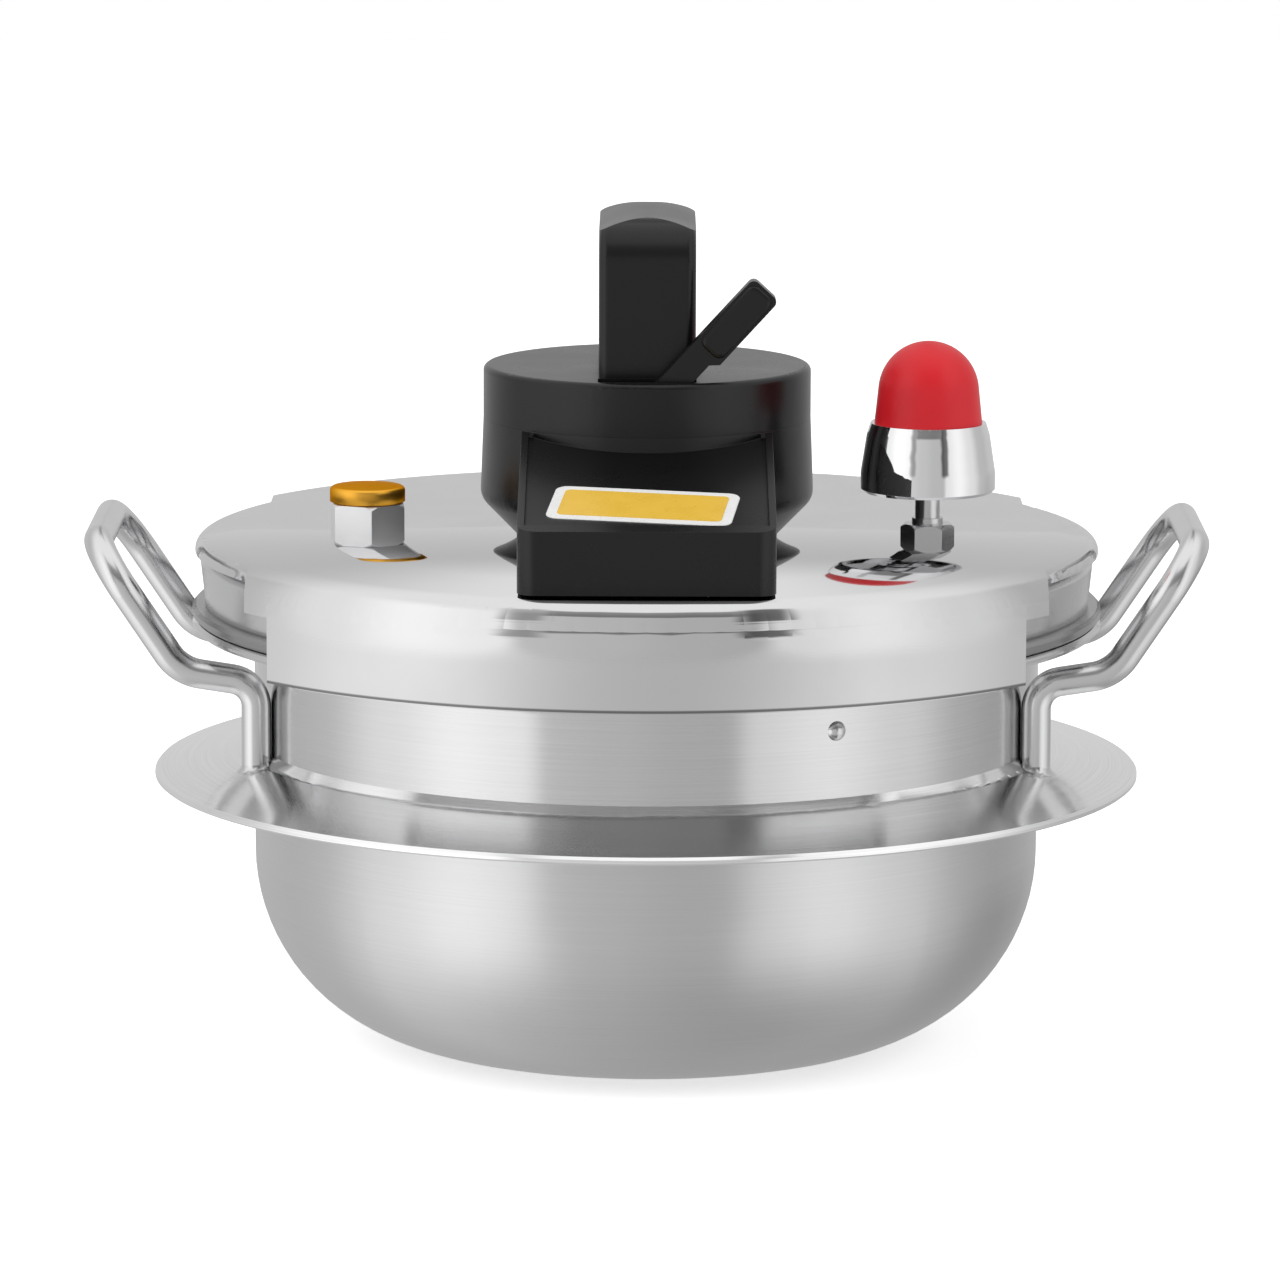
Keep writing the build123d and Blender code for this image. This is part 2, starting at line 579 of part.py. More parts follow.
def arm_channel():
    """Hollow under the front and rear boxes, with guide ribs left on both sides of the jaw arms."""
    room = side_slab(box_outline(HOUSING_WALL + ROOF_RECESS, COVER_TOP), BOX_WIDTH - 2 * HOUSING_WALL)
    room -= post(HOUSING_RADIUS, 0, HOUSING_TOP)
    guide_in = JAW_ARM_WIDTH / 2 + SLIDE_GAP
    for side in (-1, 1):
        low, high = sorted((side * guide_in, side * (guide_in + GUIDE_RIB)))
        room -= block(low, high, -FOOT_END, FOOT_END, COVER_TOP, HOUSING_TOP)
    return room


def shuttle_room():
    """Low room under the housing's floor, with four bosses and the shuttle's guide ribs left in it."""
    half_width = BOX_WIDTH / 2 - HOUSING_WALL
    room = block(-half_width, half_width, -HOUSING_RADIUS, HOUSING_RADIUS, COVER_TOP, FLOOR_BOTTOM)
    rib_inner = SHUTTLE_HALF_WIDTH + SLIDE_GAP
    for x_side in (-1, 1):
        for y_side in (-1, 1):
            room -= post(BOSS_RADIUS, COVER_TOP, FLOOR_BOTTOM, x_side * BOSS_X, y_side * BOSS_Y)
            x_low, x_high = sorted((x_side * FORK_REACH, x_side * half_width))
            y_low, y_high = sorted((y_side * rib_inner, y_side * (rib_inner + GUIDE_RIB)))
            room -= block(x_low, x_high, y_low, y_high, SHUTTLE_BOTTOM, FLOOR_BOTTOM)
    return room


def drum_cavity():
    """Round room over the housing's floor, and the fork's slot through that floor."""
    flare = (HOUSING_RADIUS - HOUSING_FOOT_RADIUS) / HOUSING_FLARE_HEIGHT
    cavity = turned([
        (0, FLOOR_TOP), (CAVITY_RADIUS - flare * HOUSING_WALL, FLOOR_TOP),
        (CAVITY_RADIUS, COVER_TOP + HOUSING_FLARE_HEIGHT + SLIDE_GAP), (CAVITY_RADIUS, HOUSING_TOP),
        (0, HOUSING_TOP),
    ])
    slot_front = -FORK_FRONT - SLIDE_GAP
    slot_back = -FORK_BACK + SLIDE_GAP
    return cavity + block(-FORK_REACH, FORK_REACH, slot_front, slot_back, COVER_TOP, FLOOR_TOP)


def housing_base():
    """Moulded housing, hollow below, with a gap over the cover under each box's outer end."""
    body = housing_outside() - arm_channel() - shuttle_room() - drum_cavity()
    for side in (-1, 1):
        y_low, y_high = sorted((side * FOOT_END, side * (BOX_FRONT + HOUSING_WALL)))
        body -= block(-BOX_WIDTH, BOX_WIDTH, y_low, y_high, 0, COVER_TOP + BOX_END_GAP)
    for x, y in boss_places():
        body -= post(STUD_DIAMETER / 2 + HOLE_GAP, COVER_TOP, FLOOR_TOP, x, y)
    return body


def boss_places():
    """Places of the four housing bosses."""
    return [(x * BOSS_X, y * BOSS_Y) for x in (-1, 1) for y in (-1, 1)]


def mounting_studs():
    """Four studs welded on the pressure lid, which pass up through its cover."""
    top = FLOOR_TOP + STUD_PROJECTION
    return Compound([post(STUD_DIAMETER / 2, LID_TOP, top, x, y) for x, y in boss_places()])


def stud_nuts():
    """Four nuts on the housing's floor."""
    nuts = []
    for x, y in boss_places():
        nut = hex_prism(STUD_NUT_WIDTH, FLOOR_TOP, FLOOR_TOP + STUD_NUT_HEIGHT, x, y)
        nuts.append(nut - post(STUD_DIAMETER / 2 + PIN_GAP, COVER_TOP, CAP_TOP, x, y))
    return Compound(nuts)


def axle_lugs():
    """Two lugs under the cap's ceiling, one on each face of the lever."""
    lugs = Part()
    for face in (LEVER_FACE + LEVER_SIDE_GAP, LEVER_BACK - LEVER_SIDE_GAP - LUG_THICKNESS):
        middle = -face - LUG_THICKNESS / 2
        eye = Rot(90, 0, 0) * Cylinder(LUG_RADIUS, LUG_THICKNESS)
        lugs += Pos(0, middle, PIVOT_HEIGHT) * eye
        lugs += block(-LUG_RADIUS, LUG_RADIUS, -face - LUG_THICKNESS, -face, PIVOT_HEIGHT, CEILING)
    return lugs & post(CAP_RADIUS - CAP_WALL / 2, HOUSING_TOP - SPIGOT_DEPTH, CAP_TOP)


def lever_slot():
    """Slot through the cap's top, as long as the lever needs for its whole swing."""
    lean = radians(LEVER_LEAN)
    half = LEVER_PIVOT_DEPTH * tan(lean) + LEVER_WIDTH / 2 / cos(lean) + 2 * SLIDE_GAP
    front = -LEVER_FACE - LEVER_SIDE_GAP
    back = -LEVER_BACK + LEVER_SIDE_GAP
    return block(-half, half, front, back, COVER_TOP, CAP_TOP)


def housing_cap():
    """Round cap with a spigot into the housing, a slot for the lever and two lugs for its axle."""
    inside = CAP_RADIUS - CAP_WALL
    wall_middle = CAP_RADIUS - CAP_WALL / 2
    cap = turned([
        (inside, HOUSING_TOP), (CAP_RADIUS, HOUSING_TOP), (CAP_RADIUS, CAP_TOP, CAP_EDGE_ROUND),
        (0, CAP_TOP), (0, CEILING), (inside, CEILING),
    ])
    spigot_out = CAVITY_RADIUS - SPIGOT_GAP
    spigot_in = spigot_out - SPIGOT_WALL
    spigot_bottom = HOUSING_TOP - SPIGOT_DEPTH
    spigot = turned([
        (spigot_in, spigot_bottom), (spigot_out, spigot_bottom), (spigot_out, HOUSING_TOP),
        (wall_middle, HOUSING_TOP), (wall_middle, CEILING), (spigot_in, CEILING),
    ])
    body = cap + spigot + axle_lugs() - lever_slot() - lever_pin()
    for x, y in grip_screw_places():
        body -= post(GRIP_SCREW_DIAMETER / 2 + HOLE_GAP, CEILING, CAP_TOP, x, y)
    return body


def grip_screw_places():
    """Places of the four screws that hold the grip's legs."""
    reach = GRIP_LENGTH / 2 - GRIP_SCREW_INSET
    return [(x * GRIP_SCREW_X, y * reach) for x in (-1, 1) for y in (-1, 1)]


def carry_grip():
    """Arch across the cap, with a crowned bar, rounded edges and a finger gap through it."""
    half = GRIP_LENGTH / 2
    inner = half - GRIP_LEG
    top = CAP_TOP + GRIP_HEIGHT
    arch = side_slab([
        (-half, CAP_TOP), (-half, top, GRIP_OUTER_ROUND), (half, top, GRIP_OUTER_ROUND), (half, CAP_TOP),
        (inner, CAP_TOP), (inner, top - GRIP_BAR, GRIP_INNER_ROUND),
        (-inner, top - GRIP_BAR, GRIP_INNER_ROUND), (-inner, CAP_TOP),
    ], GRIP_WIDTH)
    long_edges = arch.edges().filter_by(lambda edge: edge.center().Z > CAP_TOP + PIN_GAP)
    long_edges = long_edges.filter_by(lambda edge: abs(abs(edge.center().X) - GRIP_WIDTH / 2) < PIN_GAP)
    arch = fillet(long_edges, GRIP_EDGE_ROUND)
    roller = Rot(90, 0, 0) * Cylinder(GRIP_CROWN_RADIUS, 2 * GRIP_LENGTH)
    crown = Pos(0, 0, top - GRIP_CROWN_RADIUS) * roller
    above = block(-GRIP_WIDTH, GRIP_WIDTH, -GRIP_LENGTH, GRIP_LENGTH, top - GRIP_BAR / 2, top + GRIP_BAR)
    arch -= above - crown
    for x, y in grip_screw_places():
        arch -= post(GRIP_SCREW_DIAMETER / 2, CAP_TOP, CAP_TOP + GRIP_SCREW_LENGTH - CAP_CEILING, x, y)
    return arch


def grip_screws():
    """Four screws from under the cap's ceiling up into the grip."""
    screws = []
    for x, y in grip_screw_places():
        shank = post(GRIP_SCREW_DIAMETER / 2, CEILING, CEILING + GRIP_SCREW_LENGTH, x, y)
        head = post(GRIP_SCREW_HEAD / 2, CEILING - GRIP_SCREW_HEAD_HEIGHT, CEILING, x, y)
        screws.append(shank + head)
    return Compound(screws)


def vent_pipe():
    """Steam pipe: flange under the lid, threaded neck through it and a slim stem for the weight."""
    flange_bottom = SEAL_BOTTOM - VENT_FLANGE_THICKNESS
    thread_top = COVER_TOP + VENT_NUT_HEIGHT + THREAD_ABOVE_NUT
    pipe = turned([
        (VENT_BORE_RADIUS, flange_bottom), (VENT_FLANGE_RADIUS, flange_bottom),
        (VENT_FLANGE_RADIUS, SEAL_BOTTOM), (VENT_THREAD_RADIUS, SEAL_BOTTOM),
        (VENT_THREAD_RADIUS, thread_top), (VENT_STEM_RADIUS, thread_top),
        (VENT_STEM_RADIUS, COVER_TOP + VENT_TOP_RISE, -VENT_STEM_BEVEL),
        (VENT_BORE_RADIUS, COVER_TOP + VENT_TOP_RISE),
    ])
    return Pos(VENT_X, VENT_Y, 0) * pipe


def vent_nut():
    """Hexagon nut that holds the vent pipe on the lid."""
    nut = bevelled_hex(VENT_NUT_WIDTH, COVER_TOP, COVER_TOP + VENT_NUT_HEIGHT)
    return Pos(VENT_X, VENT_Y, 0) * (nut - post(VENT_THREAD_RADIUS + PIN_GAP, 0, CAP_TOP))


def seal_washer(outer, inner, x, y):
    """Flat silicone washer under the lid."""
    ring = post(outer, SEAL_BOTTOM, LID_UNDERSIDE) - post(inner + PIN_GAP, 0, CAP_TOP)
    return Pos(x, y, 0) * ring


def vent_guard():
    """Slotted cup under the vent that keeps food out of the pipe."""
    top = SEAL_BOTTOM - VENT_FLANGE_THICKNESS
    bottom = top - GUARD_DEPTH
    inside = VENT_FLANGE_RADIUS - GUARD_WALL
    cup = post(VENT_FLANGE_RADIUS, bottom, top) - post(inside, bottom + GUARD_WALL, top)
    reach = VENT_FLANGE_RADIUS + GUARD_WALL
    low = bottom + 2 * GUARD_WALL
    high = top - 2 * GUARD_WALL
    cup -= block(-reach, reach, -GUARD_SLOT / 2, GUARD_SLOT / 2, low, high)
    cup -= block(-GUARD_SLOT / 2, GUARD_SLOT / 2, -reach, reach, low, high)
    return Pos(VENT_X, VENT_Y, 0) * cup


def weight_shell():
    """Heavy tapered skirt of the pressure weight, with a guide bore and a hollow underside."""
    bottom = COVER_TOP + WEIGHT_RISE
    top = bottom + WEIGHT_SKIRT_HEIGHT
    pipe_top = COVER_TOP + VENT_TOP_RISE
    guide = VENT_STEM_RADIUS + SLIDE_GAP
    hub = guide + WEIGHT_HUB_WALL
    rim = WEIGHT_SKIRT_RADIUS - WEIGHT_RECESS_WALL
    recess = bottom + WEIGHT_RECESS_DEPTH
    shoulder = bottom + WEIGHT_SHOULDER_HEIGHT + WEIGHT_SHOULDER_BEVEL
    shell = turned([
        (0, pipe_top), (guide, pipe_top), (guide, bottom), (hub, bottom), (hub, recess), (rim, recess),
        (rim, bottom), (WEIGHT_SKIRT_RADIUS, bottom, -WEIGHT_BEVEL),
        (WEIGHT_SKIRT_RADIUS, shoulder, -WEIGHT_SHOULDER_BEVEL),
        (WEIGHT_NECK_RADIUS, top), (0, top),
    ])
    return Pos(VENT_X, VENT_Y, 0) * (shell - post(NEEDLE_RADIUS, 0, pipe_top + NEEDLE_LENGTH))


def weight_cap():
    """Domed cap on the weight: a cone that runs smoothly into a ball."""
    bottom = COVER_TOP + WEIGHT_RISE + WEIGHT_SKIRT_HEIGHT
    ball_rise = WEIGHT_CAP_HEIGHT - WEIGHT_DOME_RADIUS
    reach = sqrt(WEIGHT_CAP_RADIUS ** 2 + ball_rise ** 2)
    lean = atan2(WEIGHT_CAP_RADIUS, ball_rise) - asin(WEIGHT_DOME_RADIUS / reach)
    touch_radius = WEIGHT_DOME_RADIUS * cos(lean)
    touch_height = bottom + ball_rise + WEIGHT_DOME_RADIUS * sin(lean)
    cone = turned([
        (0, bottom), (WEIGHT_CAP_RADIUS, bottom), (touch_radius, touch_height), (0, touch_height),
    ])
    ball = Pos(0, 0, bottom + ball_rise) * Sphere(WEIGHT_DOME_RADIUS)
    dome = ball & post(WEIGHT_CAP_RADIUS, touch_height, bottom + WEIGHT_CAP_HEIGHT)
    return Pos(VENT_X, VENT_Y, 0) * (cone + dome)


def weight_needle():
    """Needle pressed in the weight, which closes the vent pipe."""
    seat = COVER_TOP + VENT_TOP_RISE
    tip = post(NEEDLE_TIP_RADIUS, seat - NEEDLE_TIP_LENGTH, seat)
    return Pos(VENT_X, VENT_Y, 0) * (post(NEEDLE_RADIUS, seat, seat + NEEDLE_LENGTH) + tip)


def relief_heights():
    """Heights of the relief valve's tail, seat and hexagon top."""
    tail = SEAL_BOTTOM - RELIEF_NUT_HEIGHT - RELIEF_TAIL
    return tail, tail + RELIEF_PORT_LENGTH, COVER_TOP + RELIEF_HEX_HEIGHT


def relief_body():
    """Hexagon body of the relief valve with a threaded neck, a spring bore and an inlet port."""
    tail, seat, top = relief_heights()
    body = Rot(0, 0, RELIEF_HEX_TURN) * bevelled_hex(RELIEF_HEX_WIDTH, COVER_TOP, top)
    body += post(RELIEF_THREAD_RADIUS, tail, COVER_TOP)
    body -= post(RELIEF_BORE_RADIUS, seat, top) + post(RELIEF_PORT_RADIUS, tail, seat)
    return Pos(RELIEF_X, RELIEF_Y, 0) * body


def relief_nut():
    """Hexagon nut under the lid."""
    nut = hex_prism(RELIEF_HEX_WIDTH, SEAL_BOTTOM - RELIEF_NUT_HEIGHT, SEAL_BOTTOM)
    return Pos(RELIEF_X, RELIEF_Y, 0) * (nut - post(RELIEF_THREAD_RADIUS + PIN_GAP, 0, CAP_TOP))


def relief_cap():
    """Shallow bevelled cap that closes the spring bore."""
    top = relief_heights()[2]
    cap = turned([
        (0, top), (RELIEF_CAP_RADIUS, top),
        (RELIEF_CAP_RADIUS, top + RELIEF_CAP_HEIGHT, -RELIEF_CAP_BEVEL), (0, top + RELIEF_CAP_HEIGHT),
    ])
    return Pos(RELIEF_X, RELIEF_Y, 0) * cap


def relief_plunger():
    """Sprung disc that closes the inlet port, with a stem inside the spring."""
    seat = relief_heights()[1]
    disc = post(RELIEF_BORE_RADIUS - SEAT_GAP, seat, seat + PLUNGER_DISC)
    stem = post(PLUNGER_STEM_RADIUS, seat, seat + PLUNGER_DISC + PLUNGER_STEM_LENGTH)
    return Pos(RELIEF_X, RELIEF_Y, 0) * (disc + stem)


def relief_spring():
    """Square-wire compression spring between the plunger's disc and the cap."""
    _, seat, top = relief_heights()
    low = seat + PLUNGER_DISC + SPRING_WIRE / 2 + PIN_GAP
    high = top - SPRING_WIRE / 2 - PIN_GAP
    coil = Helix((high - low) / SPRING_TURNS, high - low, SPRING_COIL_RADIUS)
    section = Plane(coil @ 0, z_dir=coil % 0) * Rectangle(SPRING_WIRE, SPRING_WIRE)
    wire = sweep(section, coil, is_frenet=True)
    return Pos(RELIEF_X, RELIEF_Y, low) * wire


def pieces():
    """Every piece of the cooker by its name."""
    right = side_handle()
    front = jaw()
    front_pin = jaw_pin()
    return {
        "pot_body": pot_body(),
        "burner_flange": burner_flange(),
        "right_handle": right,
        "left_handle": mirror(right, Plane.YZ),
        "lid_shell": lid_shell(),
        "lid_cover": lid_cover(),
        "lid_gasket": lid_gasket(),
        "front_jaw": front,
        "rear_jaw": mirror(front, Plane.XZ),
        "front_jaw_pin": front_pin,
        "rear_jaw_pin": mirror(front_pin, Plane.XZ),
        "shuttle_plate": shuttle_plate(),
        "lock_lever": lock_lever(),
        "drive_pin": drive_pin(),
        "lever_pin": lever_pin(),
        "housing_base": housing_base(),
        "mounting_studs": mounting_studs(),
        "stud_nuts": stud_nuts(),
        "housing_cap": housing_cap(),
        "carry_grip": carry_grip(),
        "grip_screws": grip_screws(),
        "vent_pipe": vent_pipe(),
        "vent_nut": vent_nut(),
        "vent_seal": seal_washer(VENT_FLANGE_RADIUS, VENT_THREAD_RADIUS, VENT_X, VENT_Y),
        "vent_guard": vent_guard(),
        "weight_shell": weight_shell(),
        "weight_cap": weight_cap(),
        "weight_needle": weight_needle(),
        "relief_body": relief_body(),
        "relief_nut": relief_nut(),
        "relief_seal": seal_washer(RELIEF_SEAL_RADIUS, RELIEF_THREAD_RADIUS, RELIEF_X, RELIEF_Y),
        "relief_cap": relief_cap(),
        "relief_plunger": relief_plunger(),
        "relief_spring": relief_spring(),
    }


os.makedirs("parts", exist_ok=True)
for name, piece in pieces().items():
    export_step(piece, f"parts/{name}.step")
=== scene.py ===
"""Looks of the stovetop pressure cooker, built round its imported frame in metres."""
import json
from math import cos, pi, radians, sin

import bpy
from mathutils import Matrix, Vector, noise


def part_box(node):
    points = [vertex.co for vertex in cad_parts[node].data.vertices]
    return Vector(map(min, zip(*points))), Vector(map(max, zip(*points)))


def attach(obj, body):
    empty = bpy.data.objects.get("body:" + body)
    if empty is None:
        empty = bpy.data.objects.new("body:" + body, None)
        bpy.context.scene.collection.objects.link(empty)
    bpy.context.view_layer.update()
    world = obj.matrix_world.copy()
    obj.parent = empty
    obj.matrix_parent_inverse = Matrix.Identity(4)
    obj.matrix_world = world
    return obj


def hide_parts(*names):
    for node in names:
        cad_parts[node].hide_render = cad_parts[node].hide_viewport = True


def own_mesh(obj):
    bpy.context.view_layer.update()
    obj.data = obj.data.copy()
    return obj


MM = 0.001

# Camera, fitted to the photograph
PHOTO_PIXELS = 1280
FOCAL_PIXELS = 7367.6
SENSOR_WIDTH = 36.0
CAMERA_PLACE = (0.0, -1.8929, 0.4238)
CAMERA_PITCH = 0.1674
CAMERA_YAW = 0.00088
CAMERA_ROLL = 0.003
CAMERA_REACH = 50.0

# Studio: brightness that an upright surface shows when it faces so many degrees right of the camera
STUDIO_BANDS = (
    (-90, 0.48), (-70, 0.44), (-54, 0.70), (-40, 1.10), (-28, 1.36), (-17.5, 1.22), (-14, 0.74), (-5, 0.67),
    (5, 0.60), (12, 0.59), (15.5, 0.98), (27, 1.17), (40, 0.92), (52, 0.60), (66, 0.40), (90, 0.36),
)

# Studio behind, above and below the cooker, and how much the light falls from left to right
STUDIO_BEHIND = 0.66
STUDIO_BEHIND_LOW = 0.50
BEHIND_TILT = 0.18
STUDIO_ABOVE = 1.12
STUDIO_BELOW = 0.53
BELOW_TILT = 0.26

# Where one light of the studio fades into the next, as parts of a direction's own length
BEHIND_FADE = (0.15, 0.75)
BEHIND_LOW_FADE = (-0.35, 0.0)
ABOVE_FADE = (0.45, 0.9)
BELOW_FADE = (0.4, 1.0)

# Dark gaps of the studio in front of the cooker: from and to in degrees, from and to in height, and depth
STUDIO_GAPS = (
    (-12, 11, 0.40, 0.80, 0.62),
    (-17, -12, 0.06, 0.88, 0.45),
    (11, 17, 0.06, 0.88, 0.80),
)
GAP_SIDE_BLUR = radians(1.5)
GAP_END_BLUR = 0.06

# Softboxes: name, place and power
SOFTBOXES = (("left_softbox", (-1.6, -1.2, 1.5), 18.0), ("right_softbox", (1.6, -1.0, 1.4), 13.0))
SOFTBOX_SIZE = (1.2, 1.6)
SOFTBOX_TARGET = (0, 0, 0.1)

FLOOR_SIZE = 6.0
FLOOR_DROP = 0.2 * MM
FLOOR_TINT = 0.80
FLOOR_GLOW = 0.50

# Share of blue in the polished and the brushed steel, against red and green
POLISHED_BLUE = 1.01
BRUSHED_BLUE = 1.005

# Noise in the steels: the polish's wave and haze, and the brushed steel's clouds and lines
WAVE_SCALE = 14.0
HAZE_SCALE = 60.0
CLOUD_SCALE = 22.0
BRUSH_LINE = 0.45 * MM
BRUSH_RUN = 0.5

# Crown of the cover sheet: flat in the middle, bent over a width, then a cone, and bent again at its edge
CROWN_START = 10 * MM
CROWN_WIDTH = 70 * MM
CROWN_RADIUS = 160 * MM
EDGE_START = 107 * MM
EDGE_RADIUS = 32 * MM
EDGE_END = 126.8 * MM
COVER_RIPPLE = 0.01 * MM

# Skirt of the cover sheet: its haze, which fades in between two depths below the top, and painted shade
# along its hem, standing in for the shadow line under the skirt
SKIRT_HAZE = 0.40
SKIRT_START = 7 * MM
SKIRT_FULL = 14 * MM
HEM_HEIGHT = 0.9 * MM
HEM_PAINTED_SHADE = 0.3

# Painted shade on the rolled rim of the pressure lid, in place of the shade between its rolled rings and
# the darker reflections there
LID_RIM_HEIGHT = 3.6 * MM
LID_RIM_DROP = 1.0 * MM
LID_RIM_BLUR = 0.4 * MM
LID_RIM_PAINTED_SHADE = 0.5

# Eased edges: their width on the lever and on the other pieces, and the least angle that is eased.
# Points closer than the weld distance are joined first.
LEVER_EASE = 0.9 * MM
OTHER_EASE = 0.5 * MM
EASE_SEGMENTS = 2
EASE_ANGLE = radians(26)
EASE_WEIGHT = 80
WELD_DISTANCE = 0.002 * MM

# Cap of the relief valve: rounding of its edge and rise of its top
VALVE_CAP_ROUND = 1.2 * MM
VALVE_CAP_CROWN = 0.7 * MM
VALVE_CAP_STEPS = 96
VALVE_CAP_ROUND_STEPS = 6
VALVE_CAP_CROWN_STEPS = 9

# Spring of the relief valve
SPRING_WIRE = 0.8 * MM
SPRING_TURNS = 4
SPRING_STEPS = 32
WIRE_STEPS = 8

# Blank label on the front roof
LABEL_WIDTH = 46.4 * MM
LABEL_HEIGHT = 23.6 * MM
LABEL_CORNER = 3.2 * MM
LABEL_BORDER = 2.6 * MM
LABEL_THICKNESS = 0.25 * MM
LABEL_PLACE = (-0.9 * MM, -81.6 * MM)
LABEL_TURN = radians(-7.2)

# Raised finger pad on the front of the lever: its middle sideways and along the lever from the pivot,
# and the inset and height of its outlines from the root inside the lever to the top
PAD_WIDTH = 7.4 * MM
PAD_LENGTH = 20.6 * MM
PAD_CORNER = 2.2 * MM
PAD_PLACE = (1.0 * MM, 32.4 * MM)
PAD_PROFILE = ((0.0, -0.3 * MM), (0.0, 0.3 * MM), (0.3 * MM, 0.8 * MM), (1.0 * MM, 1.0 * MM))

# Steps of each rounded corner of the label and the pad
CORNER_STEPS = 8

# Weld beads where the handle rods stand on the flange
ROD_RADIUS = 3.8 * MM
COLLAR_RADIUS = 104.2 * MM
BEAD_WIDTH = 2.4 * MM
BEAD_HEIGHT = 2.6 * MM
BEAD_START = 0.96 * ROD_RADIUS
BEAD_ROOT = 0.2 * MM
BEAD_WOBBLE = 0.22
WOBBLE_SCALE = 90
WOBBLE_TURN = 1.3
BEAD_STEPS = 48
BEAD_RINGS = 6

# Height from which surfaces are felt for
PROBE_HEIGHT = 1.0

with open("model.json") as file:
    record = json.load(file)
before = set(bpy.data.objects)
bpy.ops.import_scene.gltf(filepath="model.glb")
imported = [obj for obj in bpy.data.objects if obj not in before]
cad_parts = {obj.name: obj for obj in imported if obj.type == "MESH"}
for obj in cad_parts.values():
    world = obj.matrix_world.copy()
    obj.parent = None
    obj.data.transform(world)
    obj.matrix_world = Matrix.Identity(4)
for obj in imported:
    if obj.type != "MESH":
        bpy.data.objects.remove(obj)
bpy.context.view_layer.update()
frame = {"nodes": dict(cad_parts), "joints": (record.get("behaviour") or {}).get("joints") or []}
nodes = frame["nodes"]


class Nodes:
    """A node tree and short ways to add to it."""

    def __init__(self, tree):
        self.tree = tree

    def add(self, kind, settings=None, **inputs):
        """New node, with its own settings and its inputs given by name."""
        node = self.tree.nodes.new(kind)
        for key, value in (settings or {}).items():
            setattr(node, key, value)
        for key, value in inputs.items():
            self.join(value, node.inputs[key.replace("_", " ")])
        return node

    def join(self, value, socket):
        """Links an output to a socket, or sets the socket's own value."""
        if isinstance(value, bpy.types.NodeSocket):
            self.tree.links.new(value, socket)
        else:
            socket.default_value = value

    def math(self, operation, first, second=0.0):
        """Output of one math step."""
        node = self.add("ShaderNodeMath", {"operation": operation})
        self.join(first, node.inputs[0])
        self.join(second, node.inputs[1])
        return node.outputs[0]

    def smooth(self, value, low, high):
        """Rises smoothly from 0 to 1 between two values."""
        node = self.add("ShaderNodeMapRange", {"interpolation_type": "SMOOTHSTEP"}, Value=value)
        node.inputs["From Min"].default_value = low
        node.inputs["From Max"].default_value = high
        return node.outputs[0]

    def mixed(self, share, first, second):
        """Number between two numbers."""
        node = self.add("ShaderNodeMix", Factor=share, A=first, B=second)
        return node.outputs["Result"]


class Shader(Nodes):
    """A node material."""

    def __init__(self, name):
        self.material = bpy.data.materials.new(name)
        self.material.use_nodes = True
        super().__init__(self.material.node_tree)
        self.surface = self.tree.nodes["Principled BSDF"]

    def set(self, **inputs):
        """Sets the surface's inputs by name."""
        for key, value in inputs.items():
            self.join(value, self.surface.inputs[key.replace("_", " ")])

    def place(self):
        """Object coordinates, which are the frame's own."""
        return self.add("ShaderNodeTexCoord").outputs["Object"]

    def noise(self, vector, scale, detail=2.0, roughness=0.5):
        """Noise between 0 and 1 at a point."""
        inputs = {"Vector": vector, "Scale": scale, "Detail": detail, "Roughness": roughness}
        return self.add("ShaderNodeTexNoise", **inputs).outputs["Fac"]

    def spread(self, value, low, high):
        """Maps 0 to 1 onto a range."""
        return self.add("ShaderNodeMapRange", Value=value, To_Min=low, To_Max=high).outputs[0]

    def tint(self, share, first, second):
        """Colour between two colours."""
        node = self.add("ShaderNodeMix", {"data_type": "RGBA"}, Factor=share)
        node.inputs["A"].default_value = (*first, 1.0)
        node.inputs["B"].default_value = (*second, 1.0)
        return node.outputs["Result"]

    def bump(self, height, strength, distance):
        """Bumps the surface by a height."""
        node = self.add("ShaderNodeBump", Height=height, Strength=strength, Distance=distance)
        self.join(node.outputs[0], self.surface.inputs["Normal"])


def steel_tint(level, blue=POLISHED_BLUE):
    """Colour of steel at a brightness."""
    return level, level, level * blue


def between(tree, value, low, high, blur):
    """1 between two values and 0 outside them, with soft ends."""
    rise = tree.smooth(value, low - blur, low + blur)
    fall = tree.smooth(value, high - blur, high + blur)
    return tree.math("SUBTRACT", rise, fall)


def turned_place(shader, centre=(0.0, 0.0)):
    """Angle, radius and height round an upright axis, as three outputs."""
    parts = shader.add("ShaderNodeSeparateXYZ", Vector=shader.place())
    x = shader.math("SUBTRACT", parts.outputs[0], centre[0])
    y = shader.math("SUBTRACT", parts.outputs[1], centre[1])
    angle = shader.math("ARCTAN2", x, shader.math("MULTIPLY", y, -1.0))
    squares = shader.math("ADD", shader.math("MULTIPLY", x, x), shader.math("MULTIPLY", y, y))
    return angle, shader.math("SQRT", squares), parts.outputs[2]


def brushed_lines(shader, line, run, centre=(0.0, 0.0)):
    """Fine lines round an axis: line is their width and run their length along the turn, in radians."""
    angle, radius, height = turned_place(shader, centre)
    across = shader.math("DIVIDE", shader.math("ADD", radius, height), line)
    drop = shader.math("DIVIDE", shader.math("SUBTRACT", radius, height), line)
    along = shader.math("DIVIDE", angle, run)
    vector = shader.add("ShaderNodeCombineXYZ", X=along, Y=across, Z=drop)
    return shader.noise(vector.outputs[0], scale=1.0, detail=3.0, roughness=0.6)


